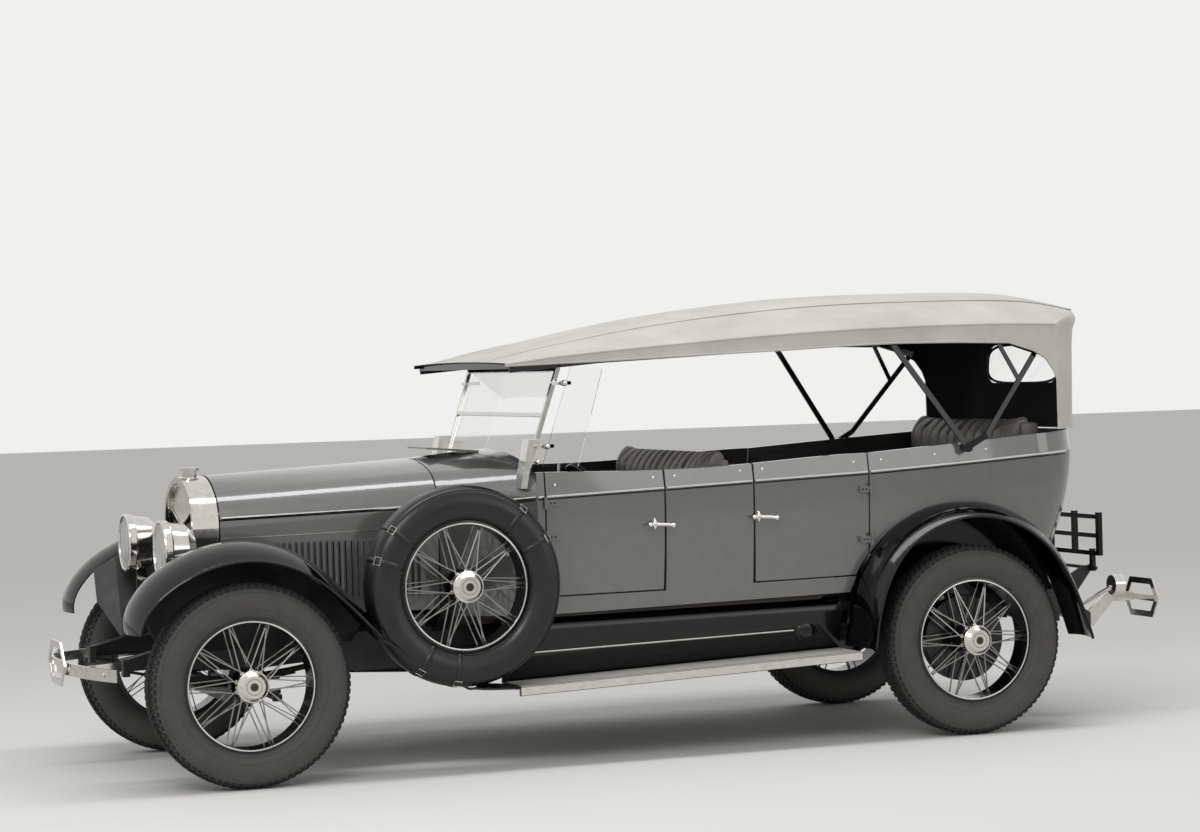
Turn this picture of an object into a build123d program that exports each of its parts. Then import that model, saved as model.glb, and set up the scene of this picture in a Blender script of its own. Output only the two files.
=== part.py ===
from build123d import *
from math import atan2, cos, hypot, radians, sin
import os

# Touring car of the late 1920s, in millimetres. The front faces -X, +Y is the car's right side,
# and Z is measured up from the ground. Tables give X from the front axle, unless they say otherwise.

os.makedirs("parts", exist_ok=True)

# Driving dimensions
WHEELBASE = 3454
TRACK = 1524
FRONT_OVERHANG = 690
REAR_OVERHANG = 1106
TYRE_RADIUS = 444
TYRE_WIDTH = 184
RIM_RADIUS = 291
KINGPIN_Y = 625
BODY_WALL = 34
SHEET = 6
DOOR_GAP = 7
GLASS = 6

FRONT_X = -(FRONT_OVERHANG + WHEELBASE + REAR_OVERHANG) / 2 + FRONT_OVERHANG
REAR_X = FRONT_X + WHEELBASE
SIDES = ((-1, "left"), (1, "right"))


def save(piece, name):
    piece.part.label = name
    export_step(piece.part, f"parts/{name}.step")


def side_plane(y=0, x=FRONT_X):
    """A plane seen from the left side: local x runs rearward and local y runs up."""
    return Plane(origin=(x, y, 0), x_dir=(1, 0, 0), z_dir=(0, -1, 0))


def cross_plane(x):
    """A plane across the car: local x runs to the right side and local y runs up."""
    return Plane(origin=(FRONT_X + x, 0, 0), x_dir=(0, 1, 0), z_dir=(1, 0, 0))


def plan_plane(z):
    return Plane(origin=(FRONT_X, 0, z), x_dir=(1, 0, 0), z_dir=(0, 0, 1))


# Tyres and wire wheels, made once about the Y axis with the outer face towards -Y
BEAD_HALF = 58
TREAD_HALF = 64
SHOULDER_RADIUS = 372
RIM_HALF = 62
RIM_INNER = 272
HUB_RADIUS = 44
HUB_INBOARD = 66
HUB_OUTBOARD = 92
CAP_RADIUS = 70
SPINDLE_RADIUS = 20
BORE_DEPTH = 120
SPOKE_WIDTH = 5
DRUM_RADIUS = 200
# flange radius on the hub, place across the hub, place across the rim, pairs of spokes, swing in degrees
SPOKE_ROWS = ((62, -62, -14, 10, 27), (66, 34, 14, 10, 23))
SPOKE_REACH = RIM_INNER + 6

with BuildPart() as tyre_form:
    with BuildSketch(Plane.YZ):
        with BuildLine():
            Polyline(
                (-BEAD_HALF, RIM_RADIUS), (BEAD_HALF, RIM_RADIUS), (TYRE_WIDTH / 2, SHOULDER_RADIUS),
                (TREAD_HALF, TYRE_RADIUS), (-TREAD_HALF, TYRE_RADIUS), (-TYRE_WIDTH / 2, SHOULDER_RADIUS),
                close=True,
            )
        make_face()
    revolve(axis=Axis.Y)


def spoke_line(flange, y_hub, y_rim, angle, swing):
    """The two ends of a spoke that leaves the hub at an angle and swings round on its way out."""
    start = Vector(flange * cos(radians(angle)), y_hub, flange * sin(radians(angle)))
    tip = radians(angle + swing)
    return start, Vector(SPOKE_REACH * cos(tip), y_rim, SPOKE_REACH * sin(tip))


with BuildPart() as wheel_form:
    with BuildSketch(Plane.YZ):
        with BuildLine():
            Polyline(
                (-RIM_HALF, RIM_INNER), (RIM_HALF, RIM_INNER),
                (BEAD_HALF, RIM_RADIUS), (-BEAD_HALF, RIM_RADIUS), close=True,
            )
        make_face()
    revolve(axis=Axis.Y)
    with BuildSketch(Plane.YZ):
        with BuildLine():
            Polyline(
                (-HUB_OUTBOARD - 22, 0), (-HUB_OUTBOARD - 22, CAP_RADIUS - 22), (-HUB_OUTBOARD, CAP_RADIUS),
                (-HUB_OUTBOARD + 34, CAP_RADIUS), (-HUB_OUTBOARD + 34, HUB_RADIUS),
                (HUB_INBOARD - 36, HUB_RADIUS), (HUB_INBOARD - 36, HUB_RADIUS + 26),
                (HUB_INBOARD, HUB_RADIUS + 26), (HUB_INBOARD, 0), close=True,
            )
        make_face()
    revolve(axis=Axis.Y)
    for flange, y_hub, y_rim, pairs, swing in SPOKE_ROWS:
        for i in range(pairs):
            for turn in (-1, 1):
                start, end = spoke_line(flange, y_hub, y_rim, 360 * (i + 0.25 * turn) / pairs, turn * swing)
                with BuildSketch(Plane(origin=start, z_dir=end - start)):
                    Rectangle(SPOKE_WIDTH, SPOKE_WIDTH)
        extrude(amount=(end - start).length)

with BuildPart() as hub_bore:
    with BuildSketch(Plane.XZ.offset(-HUB_INBOARD)):
        Circle(SPINDLE_RADIUS + 0.05)
    extrude(amount=BORE_DEPTH)

with BuildPart() as drum_form:
    with BuildSketch(Plane.YZ):
        with BuildLine():
            Polyline(
                (HUB_INBOARD - 10, HUB_RADIUS), (HUB_INBOARD - 10, DRUM_RADIUS - 8),
                (HUB_INBOARD + 34, DRUM_RADIUS - 8), (HUB_INBOARD + 34, DRUM_RADIUS),
                (HUB_INBOARD - 18, DRUM_RADIUS), (HUB_INBOARD - 18, HUB_RADIUS), close=True,
            )
        make_face()
    revolve(axis=Axis.Y)


def corner(x, side, y, z):
    """Location of a wheel at (x, y, z) with its outer face towards the given side."""
    return Location((x, y, z), (0, 0, 180 if side > 0 else 0))


for side, side_name in SIDES:
    for end_name, axle_x in (("front", FRONT_X), ("rear", REAR_X)):
        spot = corner(axle_x, side, side * TRACK / 2, TYRE_RADIUS)
        with BuildPart() as tyre:
            add(tyre_form.part.moved(spot))
        save(tyre, f"tyre_{end_name}_{side_name}")
        with BuildPart() as wheel:
            add(wheel_form.part.moved(spot))
            if end_name == "rear":
                add(drum_form.part.moved(spot))
            add(hub_bore.part.moved(spot), mode=Mode.SUBTRACT)
        save(wheel, f"wheel_{end_name}_{side_name}")

# Chassis frame: two pressed channel rails with a kick-up over the rear axle
RAIL_INNER = 352
RAIL_WIDTH = 70
RAIL_WEB = 6
# X, top of the rail, bottom of the rail
RAIL = (
    (-470, 548, 500), (-300, 590, 505), (60, 600, 475), (455, 608, 503), (580, 612, 440), (1420, 638, 455),
    (2750, 672, 490), (3060, 775, 625), (3454, 810, 690), (3820, 760, 640), (4130, 600, 500),
    (4290, 500, 420),
)
RAIL_OUTLINE = [(x, top) for x, top, low in RAIL] + [(x, low) for x, top, low in reversed(RAIL)]
with BuildPart() as rail_form:
    for side, side_name in SIDES:
        with BuildSketch(side_plane(side * (RAIL_INNER + RAIL_WIDTH / 2) + RAIL_WIDTH / 2)):
            with BuildLine():
                Polyline(*RAIL_OUTLINE, close=True)
            make_face()
        extrude(amount=RAIL_WIDTH)

# Spare wheels stand in wells in the front fenders
SPARE_X = 965
SPARE_Y = 800
SPARE_Z = 824
with BuildPart() as spare_tyres:
    for side, side_name in SIDES:
        add(tyre_form.part.moved(corner(FRONT_X + SPARE_X, side, side * SPARE_Y, SPARE_Z)))
save(spare_tyres, "spare_tyres")
# Each spare wheel is bolted to a post on a bracket that stands on the frame
CARRIER_RADIUS = 22
CARRIER_Y = 670
POST_END = SPARE_Y - HUB_INBOARD + 4
with BuildPart() as spare_wheels:
    for side, side_name in SIDES:
        add(wheel_form.part.moved(corner(FRONT_X + SPARE_X, side, side * SPARE_Y, SPARE_Z)))
        with BuildSketch(side_plane(-CARRIER_Y if side < 0 else POST_END)):
            with Locations((SPARE_X, SPARE_Z)):
                Circle(CARRIER_RADIUS)
        extrude(amount=POST_END - CARRIER_Y)
        with BuildSketch(cross_plane(SPARE_X - 30)):
            with BuildLine():
                Polyline(
                    (side * (CARRIER_Y - 14), SPARE_Z + 50), (side * (CARRIER_Y + 2), SPARE_Z + 50),
                    (side * (CARRIER_Y + 2), SPARE_Z - 60), (side * 430, 600), (side * 380, 598),
                    (side * 380, 606), (side * (CARRIER_Y - 14), SPARE_Z - 44), close=True)
            make_face()
        extrude(amount=60)
    add(rail_form.part, mode=Mode.SUBTRACT)
save(spare_wheels, "spare_wheels")

# Leaf springs: stacked leaves, each an arc a little shorter than the one above
SPRING_WIDTH = 52
SPRING_Y = RAIL_INNER + RAIL_WIDTH / 2
LEAF = 9
LEAF_STOCK = 10
HANGER = 30
# X of the centre, height of the top leaf at the centre, half length, rise of the ends, leaves
SPRINGS = ((0, 452, 440, 48, 5), (3454, 560, 640, -70, 6))

# X, height, radius of the tubes that join the rails
CROSS_TUBES = (
    (-60, 562, 28), (140, 545, 34), (1180, 545, 38), (2300, 570, 38),
    (3020, 680, 34), (3790, 715, 34), (4160, 530, 30),
)
RADIATOR_FOOT = 600
RACK_HINGE = (4312, 716)
RACK_ROD = 9
RACK_EYE = 17
RACK_ARM = 14
with BuildPart() as chassis_frame:
    for side, side_name in SIDES:
        outward = RAIL_WIDTH if side < 0 else -RAIL_WIDTH
        with BuildSketch(side_plane(side * RAIL_INNER)):
            with BuildLine():
                Polyline(*RAIL_OUTLINE, close=True)
            make_face()
        extrude(amount=outward)
        with BuildSketch(side_plane(side * RAIL_INNER)):
            with BuildLine():
                Polyline(*RAIL_OUTLINE, close=True)
            make_face()
            offset(amount=-RAIL_WEB, kind=Kind.INTERSECTION, mode=Mode.REPLACE)
        extrude(amount=outward - RAIL_WEB * (1 if side < 0 else -1), mode=Mode.SUBTRACT)
    for x, z, radius in CROSS_TUBES:
        with BuildSketch(side_plane(RAIL_INNER + RAIL_WIDTH - RAIL_WEB / 2)):
            with Locations((x, z)):
                Circle(radius)
        extrude(amount=2 * (RAIL_INNER + RAIL_WIDTH) - RAIL_WEB)
    for side, side_name in SIDES:
        with BuildSketch(side_plane(side * SPRING_Y + SPRING_WIDTH / 2)):
            for x, z, half, rise, leaves in SPRINGS:
                for end in (-1, 1):
                    with Locations((x + end * (half + HANGER / 2), z + rise + 14)):
                        Rectangle(HANGER, 76)
        extrude(amount=SPRING_WIDTH)
        with BuildSketch(plan_plane(570)):
            with Locations((-60, side * 200)):
                Rectangle(90, 60)
        extrude(amount=RADIATOR_FOOT - 570)
        with BuildSketch(side_plane(side * SPRING_Y + RACK_ARM / 2)):
            with BuildLine():
                Polyline(
                    (4080, 560), (4290, 455), (4290, 495), (4200, 560), (4312, 702), (4300, 728), (4270, 728),
                    (4100, 630), close=True)
            make_face()
            with Locations(RACK_HINGE):
                Circle(RACK_EYE)
                Circle(RACK_ROD + 0.05, mode=Mode.SUBTRACT)
        extrude(amount=RACK_ARM)
save(chassis_frame, "chassis_frame")

with BuildPart() as leaf_springs:
    for side, side_name in SIDES:
        for x, z, half, rise, leaves in SPRINGS:
            for i in range(leaves):
                reach = half * (1 - 0.8 * i / leaves)
                lift = rise * (reach / half) ** 2
                top = z - i * LEAF
                with BuildSketch(side_plane(side * SPRING_Y + SPRING_WIDTH / 2)):
                    with BuildLine():
                        upper = ThreePointArc((x - reach, top + lift), (x, top), (x + reach, top + lift))
                        low = top - LEAF_STOCK
                        lower = ThreePointArc((x - reach, low + lift), (x, low), (x + reach, low + lift))
                        Line(upper @ 0, lower @ 0)
                        Line(upper @ 1, lower @ 1)
                    make_face()
                extrude(amount=SPRING_WIDTH)
save(leaf_springs, "leaf_springs")

# Front axle: a dropped beam with a king pin at each end
BEAM_DEPTH = 64
BEAM_WIDTH = 56
BEAM_TOP = 452 - 5 * LEAF
PIN_RADIUS = 14
EYE_HALF = 34
with BuildPart() as front_axle:
    with BuildSketch(cross_plane(-BEAM_WIDTH / 2)):
        with BuildLine():
            Polyline(
                (-KINGPIN_Y, TYRE_RADIUS + EYE_HALF), (-KINGPIN_Y + 60, TYRE_RADIUS + EYE_HALF),
                (-SPRING_Y - 90, BEAM_TOP), (SPRING_Y + 90, BEAM_TOP),
                (KINGPIN_Y - 60, TYRE_RADIUS + EYE_HALF), (KINGPIN_Y, TYRE_RADIUS + EYE_HALF),
                (KINGPIN_Y, TYRE_RADIUS - EYE_HALF), (KINGPIN_Y - 40, TYRE_RADIUS - EYE_HALF),
                (SPRING_Y + 80, BEAM_TOP - BEAM_DEPTH), (-SPRING_Y - 80, BEAM_TOP - BEAM_DEPTH),
                (-KINGPIN_Y + 40, TYRE_RADIUS - EYE_HALF), (-KINGPIN_Y, TYRE_RADIUS - EYE_HALF),
                close=True,
            )
        make_face()
    extrude(amount=BEAM_WIDTH)
    for side, side_name in SIDES:
        with BuildSketch(Plane(origin=(FRONT_X, side * KINGPIN_Y, TYRE_RADIUS - EYE_HALF))):
            Circle(BEAM_WIDTH / 2)
        extrude(amount=2 * EYE_HALF)
        with BuildSketch(Plane(origin=(FRONT_X, side * KINGPIN_Y, TYRE_RADIUS - EYE_HALF - 30))):
            Circle(PIN_RADIUS)
        extrude(amount=2 * EYE_HALF + 60)
    add(leaf_springs.part, mode=Mode.SUBTRACT)
save(front_axle, "front_axle")

# Steering knuckles: a fork round the king pin's eye, a spindle and a steering arm
FORK_GAP = 1
FORK_LUG = 24
ARM_LENGTH = 160
ARM_Z = TYRE_RADIUS - EYE_HALF - FORK_GAP - FORK_LUG
ROD_RADIUS = 14
ROD_PIN = 9
for side, side_name in SIDES:
    pin_x, pin_y = FRONT_X, side * KINGPIN_Y
    with BuildPart() as knuckle:
        for z in (TYRE_RADIUS + EYE_HALF + FORK_GAP, ARM_Z):
            with BuildSketch(Plane(origin=(pin_x, pin_y + side * 16, z))):
                SlotCenterToCenter(40, 52, rotation=90)
            extrude(amount=FORK_LUG)
        with BuildSketch(Plane(origin=(pin_x, pin_y + side * 43, ARM_Z))):
            Rectangle(56, 22)
        extrude(amount=2 * (EYE_HALF + FORK_GAP + FORK_LUG))
        with BuildSketch(Plane(origin=(pin_x, pin_y + side * 40, TYRE_RADIUS), z_dir=(0, side, 0))):
            Circle(SPINDLE_RADIUS)
        extrude(amount=TRACK / 2 - KINGPIN_Y + 10)
        with BuildSketch(Plane(origin=(pin_x, pin_y, ARM_Z))):
            with Locations((ARM_LENGTH / 2, 0)):
                SlotCenterToCenter(ARM_LENGTH, 34)
        extrude(amount=FORK_LUG - 4)
        with BuildSketch(Plane(origin=(pin_x, pin_y, ARM_Z - 5))):
            Circle(PIN_RADIUS + 0.05)
        extrude(amount=200, mode=Mode.SUBTRACT)
        with BuildSketch(Plane(origin=(pin_x + ARM_LENGTH, pin_y, ARM_Z - 5))):
            Circle(ROD_PIN + (0.05 if side < 0 else 1.5))
        extrude(amount=60, mode=Mode.SUBTRACT)
    save(knuckle, f"knuckle_{side_name}")

with BuildPart() as tie_rod:
    with BuildSketch(side_plane(KINGPIN_Y - 20)):
        with Locations((ARM_LENGTH, ARM_Z - ROD_RADIUS - 5)):
            Circle(ROD_RADIUS)
    extrude(amount=2 * KINGPIN_Y - 40)
    for side, side_name in SIDES:
        with BuildSketch(Plane(origin=(FRONT_X + ARM_LENGTH, side * KINGPIN_Y, ARM_Z - 2 * ROD_RADIUS - 5))):
            Circle(22)
        extrude(amount=2 * ROD_RADIUS)
        with BuildSketch(Plane(origin=(FRONT_X + ARM_LENGTH, side * KINGPIN_Y, ARM_Z - ROD_RADIUS - 5))):
            Circle(ROD_PIN)
        extrude(amount=ROD_RADIUS + 5 + FORK_LUG - 6)
save(tie_rod, "tie_rod")

# Rear axle: banjo housing, tubes, torque tube and the spindles in the rear hubs
AXLE_TUBE = 44
with BuildPart() as rear_axle:
    with BuildSketch(Plane(origin=(REAR_X, 0, TYRE_RADIUS), x_dir=(0, 1, 0), z_dir=(1, 0, 0))):
        with BuildLine():
            Polyline(
                (-TRACK / 2 + HUB_INBOARD + 40, 0), (-TRACK / 2 + HUB_INBOARD + 40, AXLE_TUBE),
                (-190, AXLE_TUBE), (-90, 150), (90, 150), (190, AXLE_TUBE),
                (TRACK / 2 - HUB_INBOARD - 40, AXLE_TUBE), (TRACK / 2 - HUB_INBOARD - 40, 0), close=True,
            )
        make_face()
    revolve(axis=Axis((REAR_X, 0, TYRE_RADIUS), (0, 1, 0)))
    with BuildSketch(side_plane(TRACK / 2 - 20)):
        with Locations((WHEELBASE, TYRE_RADIUS)):
            Circle(SPINDLE_RADIUS)
    extrude(amount=TRACK - 40)
    with BuildSketch(cross_plane(1500)):
        with Locations((0, 500)):
            Circle(40)
    with BuildSketch(cross_plane(3340)):
        with Locations((0, TYRE_RADIUS)):
            Circle(55)
    loft()
    for side, side_name in SIDES:
        with BuildSketch(Plane(origin=(REAR_X, side * SPRING_Y, TYRE_RADIUS))):
            Rectangle(110, 70)
        extrude(amount=560 - 6 * LEAF - TYRE_RADIUS)
    add(leaf_springs.part, mode=Mode.SUBTRACT)
save(rear_axle, "rear_axle")

# Engine and gearbox: plain blocks on the cross tubes
with BuildPart() as engine_block:
    with BuildSketch(plan_plane(579)):
        with Locations((500, 0)):
            Rectangle(800, 380)
    extrude(amount=440)
    with BuildSketch(plan_plane(583)):
        with Locations((1140, 0)):
            Rectangle(480, 260)
    extrude(amount=60)
save(engine_block, "engine_block")

# Exhaust: pipe and silencer low on the right side
EXHAUST_Z = 380
EXHAUST_Y = 250
with BuildPart() as exhaust:
    with BuildLine():
        FilletPolyline(
            (FRONT_X + 500, EXHAUST_Y - 40, 579), (FRONT_X + 620, EXHAUST_Y, 400),
            (FRONT_X + 1000, EXHAUST_Y, EXHAUST_Z), (FRONT_X + 3000, EXHAUST_Y, EXHAUST_Z), radius=90)
    with BuildSketch(Plane(origin=(FRONT_X + 500, EXHAUST_Y - 40, 579), z_dir=(120, 40, -179))):
        Circle(26)
    sweep()
    with BuildSketch(cross_plane(1900)):
        with Locations((EXHAUST_Y, EXHAUST_Z)):
            Ellipse(90, 68)
    extrude(amount=800)
    for x, low in ((1180, EXHAUST_Z + 15), (2300, EXHAUST_Z + 60)):
        with BuildSketch(plan_plane(low)):
            with Locations((x, EXHAUST_Y)):
                Rectangle(20, 30)
        extrude(amount=550 - low)
    for other in (engine_block, chassis_frame):
        add(other.part, mode=Mode.SUBTRACT)
save(exhaust, "exhaust")

# Fuel tank between the rear horns
with BuildPart() as fuel_tank:
    with BuildSketch(side_plane(RAIL_INNER)):
        with Locations((4000, 590)):
            RectangleRounded(240, 190, 70)
    extrude(amount=2 * RAIL_INNER)
save(fuel_tank, "fuel_tank")

# Radiator, hood and cowl share one arched cross-section: an upright side, a corner arc and a crown arc.
# half width at the bottom, bottom, half width, height where the corner starts, the corner's end, crown
RAD_ARCH = (282, RADIATOR_FOOT, 298, 1100, 200, 1265, 1325)
HOOD_FRONT = (298, 700, 300, 1102, 202, 1267, 1329)
HOOD_REAR = (455, 700, 455, 1150, 344, 1315, 1371)
COWL_FRONT = (455, 664, 455, 1150, 344, 1315, 1371)
COWL_REAR = (676, 664, 712, 1194, 600, 1335, 1400)
RAD_FRONT = -118
RAD_FRAME = 26
HOOD_X = (6, 967)
COWL_X = (973, 1356)
HOOD_SHEET = 5
COWL_SHEET = 16


def arch(sizes, inset=0, foot=0):
    """Outline of the arch, pulled in all round by the inset, its foot lowered past the bottom."""
    low_half, low, half, side_top, corner_half, corner_top, crown = sizes
    with BuildLine() as outline:
        left = Line((-low_half + inset, low - foot), (-half + inset, side_top))
        left_corner = TangentArc(
            left @ 1, (-corner_half + inset * 0.4, corner_top - inset * 0.9), tangent=(0, 1))
        crown_arc = ThreePointArc(
            left_corner @ 1, (0, crown - inset), (corner_half - inset * 0.4, corner_top - inset * 0.9))
        right = Line((low_half - inset, low - foot), (half - inset, side_top))
        TangentArc(right @ 1, crown_arc @ 1, tangent=(0, 1))
        Line(left @ 0, right @ 0)
    return outline


with BuildPart() as radiator_shell:
    with BuildSketch(cross_plane(RAD_FRONT)):
        add(arch(RAD_ARCH))
        make_face()
    extrude(amount=-RAD_FRONT)
    with BuildSketch(cross_plane(RAD_FRONT)):
        add(arch(RAD_ARCH, RAD_FRAME, -RAD_FRAME))
        make_face()
    extrude(amount=-RAD_FRONT, mode=Mode.SUBTRACT)
    for height, radius, rise in ((RAD_ARCH[6] - 10, 32, 44), (RAD_ARCH[6] + 26, 44, 14)):
        with BuildSketch(plan_plane(height)):
            with Locations((RAD_FRONT / 2, 0)):
                Circle(radius)
        extrude(amount=rise)
save(radiator_shell, "radiator_shell")

SHUTTERS = 18
SHUTTER_PITCH = 28
# Lower edge of the plate over the shutters, from the middle outward: Y and Z along two arcs
PANEL_EDGE = ((0, 1112), (72, 1126), (140, 1152), (208, 1172), (280, 1138))
with BuildPart() as radiator_core:
    with BuildSketch(cross_plane(RAD_FRONT + 44)):
        add(arch(RAD_ARCH, RAD_FRAME, -RAD_FRAME))
        make_face()
    extrude(amount=-RAD_FRONT - 50)
    with BuildSketch(plan_plane(RAD_ARCH[1] + RAD_FRAME)):
        with GridLocations(0, SHUTTER_PITCH, 1, SHUTTERS):
            with Locations((RAD_FRONT + 36, 0)):
                Rectangle(16, 10)
    extrude(amount=PANEL_EDGE[3][1] - RADIATOR_FOOT - RAD_FRAME)
    with BuildSketch(cross_plane(RAD_FRONT + 20)):
        add(arch(RAD_ARCH, RAD_FRAME, -RAD_FRAME))
        make_face()
        with BuildLine():
            for side, side_name in SIDES:
                edge = [(side * y, z) for y, z in PANEL_EDGE]
                inner_arc = ThreePointArc(*edge[:3])
                outer_arc = ThreePointArc(*edge[2:])
                Line(outer_arc @ 1, (side * PANEL_EDGE[4][0], 500))
            Line((-PANEL_EDGE[4][0], 500), (PANEL_EDGE[4][0], 500))
        make_face(mode=Mode.SUBTRACT)
    extrude(amount=30)
save(radiator_core, "radiator_core")

# Headlamps: bright drums on posts from the frame, with a tie bar between
LAMP_X = -283
LAMP_Y = 387
LAMP_Z = 1016
LAMP_RADIUS = 134
LAMP_DEPTH = 150
LAMP_FOOT = 584
with BuildPart() as headlamps:
    for side, side_name in SIDES:
        centre = Vector(FRONT_X + LAMP_X, side * LAMP_Y, LAMP_Z)
        with BuildSketch(Plane(origin=centre, x_dir=(1, 0, 0), z_dir=(0, -1, 0))):
            with BuildLine():
                Polyline(
                    (8, 0), (8, LAMP_RADIUS - 12), (0, LAMP_RADIUS - 12), (0, LAMP_RADIUS),
                    (26, LAMP_RADIUS), (34, LAMP_RADIUS - 8), (104, LAMP_RADIUS - 18),
                    (140, LAMP_RADIUS - 50), (LAMP_DEPTH, 0), close=True,
                )
            make_face()
        revolve(axis=Axis(centre, (1, 0, 0)))
        with BuildSketch(plan_plane(LAMP_FOOT)):
            with Locations((LAMP_X + 70, centre.Y)):
                Rectangle(46, 26)
        extrude(amount=LAMP_Z - LAMP_FOOT - LAMP_RADIUS + 40)
    with BuildSketch(side_plane(LAMP_Y)):
        with Locations((LAMP_X + 70, LAMP_Z - 168)):
            Circle(13)
    extrude(amount=2 * LAMP_Y)
    add(rail_form.part, mode=Mode.SUBTRACT)
save(headlamps, "headlamps")

with BuildPart() as headlamp_lenses:
    for side, side_name in SIDES:
        with BuildSketch(cross_plane(LAMP_X)):
            with Locations((side * LAMP_Y, LAMP_Z)):
                Circle(LAMP_RADIUS - 12)
        extrude(amount=8)
save(headlamp_lenses, "headlamp_lenses")

# Fenders: curved strips across the car, lofted along the crown line
CROWN_Y = 780
WELL_RADIUS = TYRE_RADIUS + 3
WELL_HALF = 104
# X and Z of the crown line, its slope in degrees, half widths inward and outward, drops at the two edges
FRONT_FENDER = (
    (-512, 690, 88, 180, 108, 16, 26),
    (-470, 838, 60, 205, 116, 18, 50),
    (-330, 963, 34, 218, 120, 20, 62),
    (-22, 1051, 0, 222, 120, 20, 66),
    (240, 988, -27, 222, 120, 20, 62),
    (430, 835, -45, 216, 120, 18, 48),
    (640, 607, -46, 200, 116, 16, 38),
    (840, 452, -29, 176, 108, 12, 28),
    (1030, 386, -11, 160, 96, 8, 14),
    (1195, 368, -2, 150, 80, 4, 6),
)
REAR_FENDER = (
    (2868, 440, 84, 170, 118, 16, 46),
    (2900, 660, 68, 176, 118, 20, 56),
    (3050, 935, 48, 180, 120, 22, 62),
    (3240, 1053, 20, 180, 120, 22, 64),
    (3441, 1088, 0, 180, 120, 22, 64),
    (3650, 1050, -22, 180, 120, 22, 64),
    (3850, 920, -46, 180, 120, 22, 62),
    (3980, 730, -66, 178, 118, 20, 56),
    (4052, 520, -75, 170, 112, 16, 40),
    (4074, 425, -78, 160, 108, 12, 30),
)
# Inner plate of the front fender: X, then Y and Z of its upper edge and of its foot on the rail
VALANCE = (
    (-400, 566, 890, 508, 745), (-300, 562, 952, 420, 566), (-22, 558, 1027, 420, 570),
    (231, 558, 966, 420, 570), (417, 564, 818, 420, 574), (560, 574, 668, 420, 578),
)
# Wheel arch in the rear body: X and Z of its centre and its radius. The wheelhouse closes it inside
FENDER_ARC = (3441, 502, 592)
HOUSE_Y = 596
HOUSE_RADIUS = 560
HOUSE_LOW = 640


def fender(table, side):
    with BuildPart() as shell:
        for x, z, slope, width_in, width_out, drop_in, drop_out in table:
            along = Vector(cos(radians(slope)), 0, sin(radians(slope)))
            across = Vector(0, side, 0)
            up = Vector(-along.Z, 0, along.X)
            origin = (FRONT_X + x, side * CROWN_Y, z)
            with BuildSketch(Plane(origin=origin, x_dir=across, z_dir=across.cross(up))):
                with BuildLine():
                    outer = ThreePointArc((-width_in, -drop_in), (0, 0), (width_out, -drop_out))
                    inner = ThreePointArc(
                        (-width_in, -drop_in - SHEET), (0, -SHEET), (width_out - SHEET, -drop_out - SHEET))
                    Line(outer @ 0, inner @ 0)
                    Line(outer @ 1, inner @ 1)
                make_face()
        loft()
    return shell


def valance(side):
    with BuildPart() as plate:
        for x, y, z, foot_y, foot_z in VALANCE:
            with BuildSketch(cross_plane(x)):
                with BuildLine():
                    Polyline(
                        (side * y, z), (side * (y + SHEET), z), (side * (foot_y + SHEET), foot_z),
                        (side * foot_y, foot_z), close=True)
                make_face()
        loft(ruled=True)
    return plate


with BuildPart() as fenders_front:
    for side, side_name in SIDES:
        add(fender(FRONT_FENDER, side).part)
        add(valance(side).part)
    add(rail_form.part, mode=Mode.SUBTRACT)
    for side, side_name in SIDES:
        with BuildSketch(side_plane(side * SPARE_Y + WELL_HALF)):
            with Locations((SPARE_X, SPARE_Z)):
                Circle(WELL_RADIUS)
        extrude(amount=2 * WELL_HALF, mode=Mode.SUBTRACT)
save(fenders_front, "fenders_front")
with BuildPart() as fenders_rear:
    for side, side_name in SIDES:
        add(fender(REAR_FENDER, side).part)
        with BuildSketch(side_plane(side * (HOUSE_Y + SHEET / 2) + SHEET / 2)):
            with Locations(FENDER_ARC[:2]):
                Circle(HOUSE_RADIUS)
            with Locations((FENDER_ARC[0], HOUSE_LOW - 500)):
                Rectangle(2000, 1000, mode=Mode.SUBTRACT)
        extrude(amount=SHEET)
save(fenders_rear, "fenders_rear")

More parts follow.
